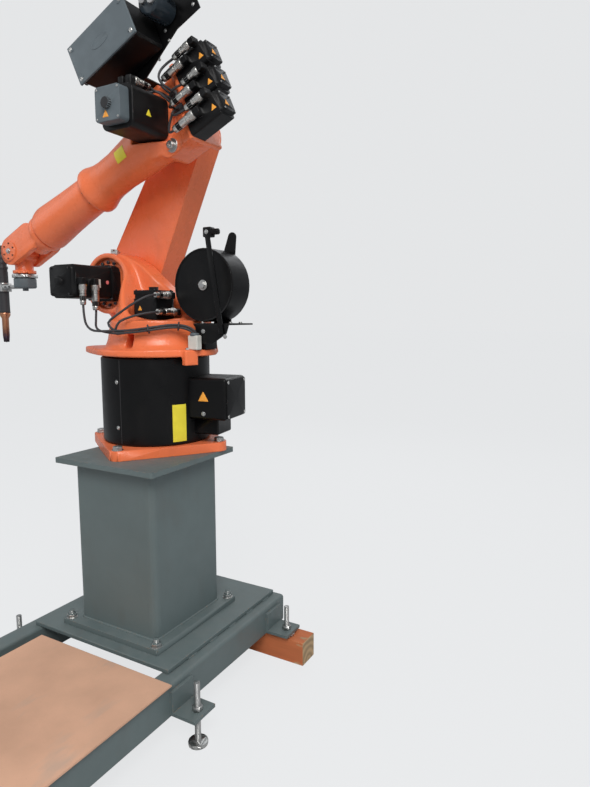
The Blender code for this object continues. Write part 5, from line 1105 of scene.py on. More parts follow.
    def pocket_outline(self) -> np.ndarray:
        """Return the pocket's outline from above, a rectangle with wide round corners."""
        x0, x1 = self.pocket_x
        y0, y1 = self.pocket_y
        centres = CORNERS * ((x1 - x0) / 2 - self.pocket_corner, (y1 - y0) / 2 - self.pocket_corner)
        outline = round_corners(centres, np.array([self.pocket_corner]), math.pi / 4, 8)[0]
        return outline + ((x0 + x1) / 2, (y0 + y1) / 2)


@dataclass
class ArmCasting:
    """The cast arm: hub of axis 3, rear block with the motors' plate, and the flared front housing."""

    step: float = 0.0042
    grid_low: Point = (-0.190, -0.145, -0.205)
    grid_high: Point = (0.445, 0.130, 0.155)
    hub_radius: float = 0.112
    hub_y: Pair = (-0.125, 0.0398)
    hub_edge: float = 0.008
    block: Block = ((-0.190, -0.095, -0.150), (0.020, 0.060, 0.105), 0.030)
    block_fillet: float = 0.020
    rear_x: float = -0.1698
    plate: Block = ((-0.190, -0.070, -0.188), (-0.148, 0.056, 0.135), 0.008)
    plate_fillet: float = 0.018
    foot_outline: tuple[Pair, ...] = (
        (-0.176, 0.0), (-0.176, 0.110), (-0.158, 0.110), (-0.0567, 0.036), (-0.0567, 0.0))
    foot_z: Pair = (-0.188, -0.092)
    foot_slope: tuple[Pair, Pair] = ((-0.158, -0.0567), (-0.188, -0.139))
    foot_fillet: float = 0.010
    pad: Block = ((-0.065, -0.109, -0.020), (0.065, 0.032, 0.128), 0.006)
    pad_fillet: float = 0.008
    front: Pair = (-0.030, 0.4268)
    front_stations: tuple[Pair, ...] = (
        (-0.030, 0.092), (0.090, 0.092), (0.170, 0.0862), (0.260, 0.0785), (0.330, 0.0790),
        (0.361, 0.0828), (0.385, 0.0895), (0.400, 0.0945), (0.408, 0.0968), (0.440, 0.0968))
    front_z: float = -0.035
    front_edge: float = 0.003
    front_fillet: float = 0.030
    boss: Pair = (0.040, -0.088)
    boss_radius: float = 0.034
    boss_y: Pair = (0.0, 0.050)
    boss_edge: float = 0.004
    boss_fillet: float = 0.010
    niche_half: float = 0.080
    niche_floor: float = 0.047
    niche_rim: float = 0.004
    seat_radius: float = 0.096
    seat_y: Pair = (0.0, 0.0518)
    seat_edge: float = 0.002
    seat_fillet: float = 0.004
    disc_radius: float = 0.062
    disc_y: Pair = (-0.1294, 0.0)
    disc_fillet: float = 0.003

    def shell(self) -> Shell:
        """Melt the forms together, carve the niche of motor 3 and cut the rear face flat."""
        grid = Solid(self.grid_low, self.grid_high, self.step)
        shape = melt(self.rear(grid), grid.block(*self.pad), self.pad_fillet)
        stations, radii = zip(*self.front_stations)
        radius = np.interp(grid.x, stations, radii)
        front = grid.rod("x", (0, self.front_z), radius, *self.front, self.front_edge)
        shape = melt(shape, front, self.front_fillet)
        boss = grid.rod("y", self.boss, self.boss_radius, *self.boss_y, self.boss_edge)
        shape = carve(melt(shape, boss, self.boss_fillet), self.niche(grid), self.niche_rim)
        seat = grid.rod("y", (0, 0), self.seat_radius, *self.seat_y, self.seat_edge)
        shape = melt(shape, seat, self.seat_fillet)
        shape = melt(shape, grid.rod("y", (0, 0), self.disc_radius, *self.disc_y), self.disc_fillet)
        return grid.skin(np.maximum(shape, self.rear_x - grid.x)).moved(ARM)

    def rear(self, grid: Solid) -> np.ndarray:
        """Melt the hub, the block behind it and the motors' plate with its sloping foot together."""
        hub = grid.rod("y", (0, 0), self.hub_radius, *self.hub_y, self.hub_edge)
        shape = melt(hub, grid.block(*self.block), self.block_fillet)
        shape = np.maximum(shape, grid.y - self.hub_y[1])
        foot = grid.prism("z", np.array(self.foot_outline), *self.foot_z)
        foot = np.maximum(foot, np.interp(grid.x, *self.foot_slope) - grid.z)
        plate = melt(grid.block(*self.plate), foot, self.foot_fillet)
        return melt(shape, plate, self.plate_fillet)

    def niche(self, grid: Solid) -> np.ndarray:
        """Return the square room in front of motor 3's seat, upright although the arm leans."""
        across = grid.x * LEAN[0] - grid.z * LEAN[2]
        upright = grid.x * LEAN[2] + grid.z * LEAN[0]
        away = np.maximum(np.abs(across), np.abs(upright)) - self.niche_half
        return np.maximum(away, self.niche_floor - grid.y)


@dataclass
class ForearmTube:
    """The extension tube, which widens towards the wrist and carries a rib that grows with it."""

    stations: tuple[tuple[float, float, float], ...] = (  # Place, radius and height of the rib.
        (0.4275, 0.0740, 0), (0.4278, 0.0775, 0), (0.4320, 0.0790, 0), (0.4700, 0.0790, 0.001),
        (0.5200, 0.0795, 0.003), (0.5700, 0.0806, 0.005), (0.6200, 0.0824, 0.0068),
        (0.6700, 0.0850, 0.0080), (0.7050, 0.0872, 0.0088), (0.7300, 0.0885, 0.0084),
        (0.7480, 0.0893, 0.0050), (0.7590, 0.0893, 0.0020), (0.7640, 0.0880, 0), (0.7648, 0.0850, 0),
        (0.7648, 0.0505, 0), (0.7650, 0.0500, 0), (0.7697, 0.0500, 0))
    rib_angle: float = math.radians(52)
    rib_width: float = math.radians(15)
    axis_z: float = -0.035
    steps: int = 96

    def shell(self) -> Shell:
        """Skin the tube: r(a, x) = R(x) + H(x) exp(-((a - a0) / w)^2)."""
        along, radius, height = np.array(self.stations).T[:, :, None]
        angle = np.linspace(0, TURN, self.steps, endpoint=False)
        away = (angle - self.rib_angle + math.pi) % TURN - math.pi
        reach = radius + height * np.exp(-(away / self.rib_width) ** 2)
        across, up = reach * np.cos(angle), reach * np.sin(angle)
        rings = np.stack([np.broadcast_to(along, across.shape), across, self.axis_z + up], -1)
        return lofted(rings).moved(ARM)


@dataclass(frozen=True)
class PlugKind:
    """One size of plug: the radius and the length of its metal sleeve."""

    radius: float
    length: float


SIGNAL_PLUG = PlugKind(0.0125, 0.080)
POWER_PLUG = PlugKind(0.0145, 0.100)


@dataclass(frozen=True)
class Plug:
    """A right-angle plug: where its elbow stands, where it leads, and its size."""

    foot: Point
    outwards: Point
    along: Point
    kind: PlugKind
    stand: float = 0.020
    elbow_half: float = 0.013
    cover: float = 0.0006

    def place(self, frame_of: Place) -> Place:
        """Return the frame at the sleeve's start, with Z along the sleeve."""
        start = np.asarray(self.foot) + self.stand * np.asarray(self.outwards)
        start = start + self.elbow_half * np.asarray(self.along)
        return frame_of.at(tuple(start), self.along)

    def metal(self) -> Shell:
        """Make the sleeve: a fluted coupling ring, a grooved barrel and the clamp nut at its end."""
        radius, length = self.kind.radius + self.cover, self.kind.length
        ring = fluted([(radius - 0.001, 0.0005), (radius + 0.0006, 0.0022), (radius + 0.0006, 0.004),
                       (radius + 0.0014, 0.0045), (radius + 0.0014, 0.021), (radius + 0.0006, 0.0215),
                       (radius + 0.0006, 0.024), (radius - 0.001, 0.025)], 22, 0.0011, (0.0042, 0.0213))
        barrel_end = length - 0.034
        barrel = turned([(radius - 0.002, 0.0245), (radius, 0.0255), (radius, 0.035),
                         (radius - 0.0008, 0.0355), (radius - 0.0008, 0.0375), (radius, 0.038),
                         (radius, barrel_end - 0.001), (radius - 0.001, barrel_end)], 28)
        nut = turned([(radius * 0.90, barrel_end - 0.001), (radius * 0.95, barrel_end + 0.001),
                      (radius * 0.95, length - 0.018), (radius * 0.90, length - 0.0165)], 10)
        tail = turned([(radius * 0.80, length - 0.018), (radius * 0.88, length - 0.016),
                       (radius * 0.88, length - 0.006), (radius * 0.74, length + 0.0008),
                       (radius * 0.60, length + 0.0012)], 24)
        return joined([ring, barrel, nut, tail])

    def band(self) -> Shell:
        """Make the dark sealing band that shows between the ring and the elbow."""
        radius = self.kind.radius + self.cover
        return turned([(radius * 0.9, -0.003), (radius + 0.0004, -0.002), (radius + 0.0004, 0.0004),
                       (radius * 0.9, 0.0010)], 24)


def add_plugs(name: str, plugs: list[Plug], frame_of: Place, body: Body) -> None:
    """Dress a group of plugs with their metal sleeves and dark bands.

    Args:
        name: First part of the pieces' names.
        plugs: The plugs.
        frame_of: Frame that the plugs' points are in.
        body: The body that carries them.
    """
    new_piece(name + "_sleeves", joined([plug.metal().moved(plug.place(frame_of)) for plug in plugs]),
              SILVER, body)
    new_piece(name + "_seals", joined([plug.band().moved(plug.place(frame_of)) for plug in plugs]),
              PLUG_BLACK, body)


@dataclass(frozen=True)
class Marker:
    """A plain stuck-on marker: a polygon or a rectangle, with nothing printed on it."""

    finish: Finish
    sides: int = 3
    reach: float = 0.006
    width: float = 0.0
    height: float = 0.0
    thickness: float = 0.0005

    def shell(self) -> Shell:
        """Make the marker flat on Z = 0, sunk a little so that no gap shows."""
        if self.width:
            return slab(self.width / 2, self.height / 2, -self.thickness, self.thickness, 0.0015, 0.0002)
        return regular(self.sides, self.reach, -self.thickness, self.thickness, 0.0012, 0.0002)

    def put(self, name: str, places: list[Place], body: Body) -> None:
        """Stick one marker at each place."""
        new_piece(name, self.shell().repeated(places), self.finish, body)


def ring_places(frame_of: Place, centre: Point, direction: Point, radius: float, count: int,
                first: float = 0.0, step: float | None = None) -> list[Place]:
    """Spread places on a circle.

    Args:
        frame_of: Frame of the centre and the direction.
        centre: Middle of the circle.
        direction: Axis of the circle, which each place's Z follows.
        radius: Radius of the circle.
        count: Number of places.
        first: Angle of the first place, in radians.
        step: Angle between places, or None for an even spread.

    Returns:
        The places, in the model's frame.
    """
    hub = frame_of.at(centre, direction)
    gap = TURN / count if step is None else step
    return [hub.at((radius * math.cos(first + gap * i), radius * math.sin(first + gap * i), 0))
            for i in range(count)]


def corner_places(frame_of: Place, centre: Point, direction: Point, half_x: float,
                  half_y: float) -> list[Place]:
    """Return the four corners of a rectangle that lies across a direction, in the model's frame."""
    hub = frame_of.at(centre, direction)
    return [hub.at((x * half_x, y * half_y, 0)) for x in (-1, 1) for y in (-1, 1)]


@dataclass
class Skid:
    """The box-section skid on its timber and jacks."""

    rail_inner: float = 0.310
    rail_top: float = 0.220
    cross_low: float = 0.100
    cross_top: float = 0.200
    cross_rear_y: Pair = (-0.080, 1.440)
    cross_width: float = 0.080
    deck_half: float = 0.345
    deck_y: Pair = (-0.070, 0.630)
    jack_x: float = 0.462
    jack_y: Pair = (0.015, 0.620)
    rod_radius: float = 0.0107
    rod_lows: Pair = (0.112, 0.012)
    rod_top: float = 0.2245
    thread_depth: float = 0.0012
    thread_pitch: float = 0.0030
    stitch: float = 0.045
    stitch_gap: float = 0.125
    bead: float = 0.007

    def build(self) -> None:
        """Dress the skid and add its welds and threads."""
        for node in ("skid_rail_near", "skid_rail_far", "cross_member_rear", "cross_member_front",
                     "deck_plate"):
            dress_node(node, GREY_GREEN)
        dress_node("timber_bearer", TIMBER)
        dress_node("deck_board", BOARD)
        for node in ("jack_near_rear", "jack_near_front", "jack_far_rear", "jack_far_front"):
            smooth_skin(node, STEEL, Body.BASE)
        new_piece("skid_welds", joined(self.frame_welds() + self.deck_welds()), GREY_GREEN, Body.BASE)
        new_piece("jack_threads", joined(self.threads()), STEEL, Body.BASE)

    def frame_welds(self) -> list[Shell]:
        """Lay the beads where the cross members meet the rails: up both sides and over the top."""
        beads = []
        for side in (-1, 1):
            x = side * self.rail_inner
            for rear in self.cross_rear_y:
                front = rear + self.cross_width
                corners = [(x, rear, self.cross_low), (x, rear, self.cross_top),
                           (x, front, self.cross_top), (x, front, self.cross_low)]
                beads.append(weld_bead(corners, self.bead, (1, 0, 0)))
        return beads

    def deck_welds(self) -> list[Shell]:
        """Lay the stitch welds along the deck plate's edges on the rails."""
        beads = []
        starts = np.arange(self.deck_y[0] + self.stitch, self.deck_y[1] - self.stitch, self.stitch_gap)
        for side in (-1, 1):
            for start in starts:
                corners = [(side * self.deck_half, start, self.rail_top),
                           (side * self.deck_half, start + self.stitch, self.rail_top)]
                beads.append(weld_bead(corners, self.bead, (0, 0, 1)))
        return beads

    def threads(self) -> list[Shell]:
        """Cut the threads of the four jack rods, those at the rear standing on the timber."""
        rods = []
        for side in (-1, 1):
            for y, low in zip(self.jack_y, self.rod_lows):
                rod = thread(self.rod_radius, self.thread_depth, self.thread_pitch, low, self.rod_top)
                rods.append(rod.moved(Place((side * self.jack_x, y, 0))))
        return rods


@dataclass
class Pedestal:
    """The square hollow-section post under the robot, with its two plates."""

    column_half: float = 0.1975
    column_corner: float = 0.030
    base_top: float = 0.257
    column_top: float = 0.890
    bolt_reach: float = 0.221
    bolt_spin: float = 0.3
    nut_radius: float = 0.0165
    washer_radius: float = 0.021
    stud_radius: float = 0.0105
    stud_top: float = 0.2865
    thread_depth: float = 0.0012
    thread_pitch: float = 0.0025
    bead: float = 0.010
    bead_ripple: float = 0.005

    def build(self) -> None:
        """Dress the post and its plates, and weld and bolt them."""
        for node in ("pedestal_column", "pedestal_top_plate"):
            dress_node(node, GREY_GREEN)
        smooth_skin("pedestal_base_plate", GREY_GREEN, Body.BASE)
        new_piece("pedestal_welds", joined([self.weld(self.base_top), self.weld(self.column_top)]),
                  GREY_GREEN, Body.BASE)
        new_piece("pedestal_studs", self.studs(), STEEL, Body.BASE)

    def weld(self, height: float) -> Shell:
        """Lay the bead round the post's foot or head, along its outline with round corners."""
        centres = CORNERS * (self.column_half - self.column_corner)
        outline = round_corners(centres, np.array([self.column_corner]), math.pi / 4, 6)[0]
        corners = np.column_stack([outline, np.full(len(outline), height)])
        bead = weld_bead(corners, self.bead, (0, 0, 1), loop=True, ripple=self.bead_ripple)
        return bead.moved(PEDESTAL)

    def studs(self) -> Shell:
        """Make the hexagon nuts, washers and threaded studs at the base plate's corners."""
        nut = screw(self.nut_radius, Drive.HEX, self.washer_radius)
        stud = thread(self.stud_radius, self.thread_depth, self.thread_pitch, 0.0,
                      self.stud_top - self.base_top)
        places = [PEDESTAL.at((x * self.bolt_reach, y * self.bolt_reach, self.base_top),
                              spin=x * y * self.bolt_spin) for x in (-1, 1) for y in (-1, 1)]
        return joined([nut.repeated(places), stud.repeated(places)])


@dataclass
class RobotBase:
    """The robot's fixed foot, its drum and the connection box behind it."""

    bolts: int = 4
    bolt_circle: float = 0.282
    bolt_z: float = 0.038
    bolt_radius: float = 0.0168
    washer_radius: float = 0.022
    drum_radius: float = 0.218
    drum_z: Pair = (0.045, 0.372)
    seam_azimuth: float = math.radians(83)
    seam_sink: float = 0.001
    seam_radius: float = 0.0022
    screw_azimuths: Pair = (math.radians(79), math.radians(-101))
    screw_heights: Pair = (0.286, 0.108)
    sticker_span: Pair = (math.radians(137), math.radians(152))
    sticker_z: Pair = (0.052, 0.198)
    sticker_skin: Pair = (-0.0004, 0.0006)
    box_reach: float = 0.360
    box_half: float = 0.090
    box_z: Pair = (0.135, 0.300)
    lid_inset: float = 0.006
    lid: Pair = (-0.002, 0.0025)
    lid_screw_inset: float = 0.016
    marker_x: float = -0.262
    marker_z: float = 0.222
    earth_z: float = 0.160

    def build(self) -> None:
        """Dress the foot, the drum and the box with their screws and markers."""
        smooth_skin("foot_flange", ORANGE, Body.BASE)
        smooth_skin("base_drum", BLACK, Body.BASE)
        smooth_skin("connection_box", BLACK, Body.BASE)
        lobes = [BASE.at((self.bolt_circle * math.cos(a), self.bolt_circle * math.sin(a), self.bolt_z),
                         spin=a) for a in (TURN * i / self.bolts for i in range(self.bolts))]
        bolt = screw(self.bolt_radius, Drive.HEX, self.washer_radius)
        new_piece("foot_bolts", bolt.repeated(lobes), STEEL, Body.BASE)
        new_piece("drum_seam", self.seam(), DARK_PLASTIC, Body.BASE)
        spots = []
        for outwards in ((math.cos(a), math.sin(a), 0) for a in self.screw_azimuths):
            spots += [BASE.at((self.drum_radius * outwards[0], self.drum_radius * outwards[1], z), outwards)
                      for z in self.screw_heights]
        new_piece("drum_screws", screw(0.0055, Drive.PAN, 0.008).repeated(spots), STEEL, Body.BASE)
        new_piece("drum_sticker", self.sticker(), YELLOW_MARK, Body.BASE)
        self.box()

    def seam(self) -> Shell:
        """Make the thin lap of the drum's sheet cover, a strip that stands a little proud."""
        outwards = np.array([math.cos(self.seam_azimuth), math.sin(self.seam_azimuth), 0])
        path = np.repeat((self.drum_radius - self.seam_sink) * outwards[None], 12, 0)
        path[:, 2] = np.linspace(*self.drum_z, len(path))
        return bar(path, self.seam_radius, outwards, 8).moved(BASE)

    def sticker(self) -> Shell:
        """Bend a plain sticker round the drum, sunk a little so that no gap shows."""
        low, high = self.sticker_z
        inner, outer = (self.drum_radius + skin for skin in self.sticker_skin)
        section = ((inner, low), (outer, low), (outer, high), (inner, high))
        return bent(section, self.sticker_span, 14).moved(BASE)

    def box(self) -> None:
        """Put the lid, its screws, a plain marker and the earth screw on the connection box."""
        low, high = self.box_z
        middle, half_z = (low + high) / 2, (high - low) / 2
        lid = slab(self.box_half - self.lid_inset, half_z - self.lid_inset, *self.lid, 0.010, 0.001)
        rear = BASE.at((-self.box_reach, 0, middle), (-1, 0, 0))
        new_piece("connection_box_lid", lid.moved(rear), BLACK, Body.BASE)
        spots = corner_places(BASE, (-self.box_reach - self.lid[1], 0, middle), (-1, 0, 0),
                              self.box_half - self.lid_screw_inset, half_z - self.lid_screw_inset)
        new_piece("connection_box_screws", screw(0.0048, Drive.PAN, 0.007).repeated(spots), STEEL, Body.BASE)
        marker = BASE.at((self.marker_x, self.box_half, self.marker_z), (0, 1, 0))
        Marker(ORANGE_MARK, reach=0.013).put("connection_box_marker", [marker], Body.BASE)
        earth = BASE.at((self.marker_x, self.box_half, self.earth_z), (0, 1, 0))
        new_piece("connection_box_earth_screw", screw(0.0060, Drive.HEX, 0.009).moved(earth), STEEL,
                  Body.BASE)


@dataclass
class Column:
    """The rotating column with motors 1 and 2, the wire reel and the wire guide."""

    cap_screw: float = 0.0036
    bolts_centre: Point = (0.260, -0.0105, 0.675)
    bolt_circle: float = 0.090
    bolt_step: float = math.radians(22)
    motor_1: Pair = (-0.030, 0.035)
    motor_1_half: float = 0.059
    motor_1_cap_half: float = 0.056
    motor_1_top: float = 0.6383
    motor_1_plugs: tuple[Pair, Pair] = ((0.020, 0.6183), (-0.010, 0.5533))
    motor_1_marker: Pair = (-0.010, 0.566)
    motor_2: Pair = (0.274, 0.675)
    motor_2_half: float = 0.066
    motor_2_cap_half: float = 0.059
    motor_2_cover_y: float = 0.235
    motor_2_flange_y: float = 0.0275
    motor_2_plugs: Pair = (0.200, 0.136)
    motor_2_label: Pair = (0.094, 0.670)
    motor_2_marker: Pair = (0.168, 0.662)
    flange_marker: Pair = (0.050, 0.676)
    reel_axle: Point = (-0.265, 0.0205, 0.655)
    bracket_tops: tuple[Point, ...] = ((-0.385, 0.010, 0.510), (-0.385, -0.055, 0.510),
                                       (-0.268, 0.030, 0.510))
    bracket_sides: tuple[Point, ...] = ((-0.290, 0.056, 0.480), (-0.392, 0.0563, 0.462))
    guide_head: Point = (-0.318, 0.0620, 0.845)
    clamp: Point = (0.238, -0.030, 0.8005)
    stop_azimuth: float = math.radians(161)
    stop_reach: float = 0.246
    stop_z: float = 0.4098
    block_cap: Point = (-0.261, 0.0713, 0.465)

    def build(self) -> None:
        """Dress the casting, the motors, the reel and the guide."""
        replace_node("column_casting", ColumnCasting().shell(), ORANGE, Body.COLUMN)
        for node in ("axis_1_motor", "axis_2_motor"):
            smooth_skin(node, MOTOR_BLACK, Body.COLUMN, 28)
        for node in ("reel_bracket", "reel_drum", "wire_guide"):
            smooth_skin(node, BLACK, Body.COLUMN)
        smooth_skin("column_leads", RUBBER, Body.COLUMN, 60)
        dress_node("terminal_block", WHITE_PLASTIC)
        self.housing_screws()
        self.motors()
        self.reel_parts()
        self.small_parts()

    def cap_screws(self, motor: str, centre: Point, direction: Point, half: float) -> None:
        """Put a screw at each corner of a motor's end cap, which is twice the half wide."""
        inset = half - self.cap_screw * 2.4
        spots = corner_places(COLUMN, centre, direction, inset, inset)
        new_piece(motor + "_cap_screws", screw(self.cap_screw).repeated(spots), DARK_STEEL, Body.COLUMN)

    def housing_screws(self) -> None:
        """Put the groups of three socket screws above and below axis 2 in the housing's recess."""
        spots = []
        for middle in (math.pi / 2, -math.pi / 2):
            spots += ring_places(COLUMN, self.bolts_centre, (0, 1, 0), self.bolt_circle, 3,
                                 middle - self.bolt_step, self.bolt_step)
        new_piece("housing_screws", screw(0.0068).repeated(spots), DARK_STEEL, Body.COLUMN)

    def motors(self) -> None:
        """Put the plugs' metal, the screws and the plain markers on motors 1 and 2."""
        x, y = self.motor_1
        rear = x - self.motor_1_half
        plugs = [Plug((rear, *spot), (-1, 0, 0), (0, 1, 0), kind)
                 for spot, kind in zip(self.motor_1_plugs, (SIGNAL_PLUG, POWER_PLUG))]
        add_plugs("axis_1_motor", plugs, COLUMN, Body.COLUMN)
        self.cap_screws("axis_1_motor", (x, y, self.motor_1_top), (0, 0, 1), self.motor_1_cap_half)
        x_2, z_2 = self.motor_2
        rear_2 = x_2 - self.motor_2_half
        plugs = [Plug((rear_2, spot, z_2), (-1, 0, 0), (0, 0, -1), kind)
                 for spot, kind in zip(self.motor_2_plugs, (SIGNAL_PLUG, POWER_PLUG))]
        add_plugs("axis_2_motor", plugs, COLUMN, Body.COLUMN)
        cap_2 = (x_2, self.motor_2_cover_y, z_2)
        self.cap_screws("axis_2_motor", cap_2, (0, 1, 0), self.motor_2_cap_half)
        spots = corner_places(COLUMN, (x_2, self.motor_2_flange_y, z_2), (0, 1, 0), self.motor_2_half,
                              self.motor_2_half)
        new_piece("axis_2_flange_screws", screw(0.0052).repeated(spots), DARK_STEEL, Body.COLUMN)
        for name, marker, spot in (
                ("axis_2_motor_label", Marker(WHITE_PLASTIC, width=0.014, height=0.034), self.motor_2_label),
                ("axis_2_motor_marker", Marker(ORANGE_MARK, reach=0.0055), self.motor_2_marker),
                ("axis_2_flange_marker", Marker(PINK_MARK, sides=20, reach=0.0080), self.flange_marker)):
            marker.put(name, [COLUMN.at((rear_2, *spot), (-1, 0, 0))], Body.COLUMN)
        spot = (self.motor_1_marker[0], y + self.motor_1_half, self.motor_1_marker[1])
        place = COLUMN.at(spot, (0, 1, 0))
        Marker(ORANGE_MARK, reach=0.0065).put("axis_1_motor_marker", [place], Body.COLUMN)

    def reel_parts(self) -> None:
        """Put the nut on the reel's axle and the screws on its bracket and on the wire guide."""
        axle = COLUMN.at(self.reel_axle, (0, 1, 0), 0.4)
        new_piece("reel_axle_nut", screw(0.0130, Drive.HEX, 0.020).moved(axle), STEEL, Body.COLUMN)
        spots = [COLUMN.at(point, (0, 0, 1)) for point in self.bracket_tops]
        spots += [COLUMN.at(point, (0, 1, 0)) for point in self.bracket_sides]
        new_piece("bracket_screws", screw(0.0052, Drive.HEX, 0.0085).repeated(spots), STEEL, Body.COLUMN)
        guide = COLUMN.at(self.guide_head, (0, 1, 0))
        new_piece("guide_head_screw", screw(0.0050, Drive.HEX, 0.0085).moved(guide), STEEL, Body.COLUMN)

    def small_parts(self) -> None:
        """Put the lifting clamp, the flange's stop screw and the block's cap where they belong."""
        clamp = joined([slab(0.019, 0.011, -0.004, 0.010, 0.003, 0.001),
                        screw(0.0075, Drive.HEX, 0.0105).moved(Place((-0.006, 0.0, 0.010))),
                        slab(0.006, 0.010, 0.009, 0.020, 0.002, 0.0008).moved(Place((0.012, 0, 0)))])
        new_piece("housing_clamp", clamp.moved(COLUMN.at(self.clamp)), STEEL, Body.COLUMN)
        stop = COLUMN.at((self.stop_reach * math.cos(self.stop_azimuth),
                          self.stop_reach * math.sin(self.stop_azimuth), self.stop_z))
        new_piece("stop_screw", screw(0.0075, Drive.HEX, 0.013).moved(stop), STEEL, Body.COLUMN)
        cap = turned([(0.0170, -0.002), (0.0180, 0.0), (0.0180, 0.006), (0.0165, 0.0085), (0.010, 0.0095)],
                     28)
        new_piece("terminal_cap", cap.moved(COLUMN.at(self.block_cap)), GREY_COVER, Body.COLUMN)


@dataclass
class LinkArm:
    """The link arm between axes 2 and 3 with its bearing caps."""

    cap_y: float = -0.2678
    foot_radius: float = 0.088
    foot_phase: float = 0.39
    head_radius: float = 0.056
    head_phase: float = 0.52
    head_z: float = 0.680
    boss: Point = (-0.098, -0.1268, 0.120)

    def build(self) -> None:
        """Dress the link and its caps and put their screws in."""
        smooth_skin("link_arm", ORANGE, Body.LINK)
        for node in ("link_foot_cap", "link_head_cap"):
            smooth_skin(node, BLACK, Body.LINK)
        spots = ring_places(LINK, (0, self.cap_y, 0), (0, -1, 0), self.foot_radius, 8, self.foot_phase)
        spots += ring_places(LINK, (0, self.cap_y, self.head_z), (0, -1, 0), self.head_radius, 6,
                             self.head_phase)
        new_piece("link_cap_screws", screw(0.0055).repeated(spots), STEEL, Body.LINK)
        boss = LINK.at(self.boss, (0, 1, 0))
        new_piece("link_boss_screw", screw(0.0095, Drive.HEX, 0.0145).moved(boss), STEEL, Body.LINK)


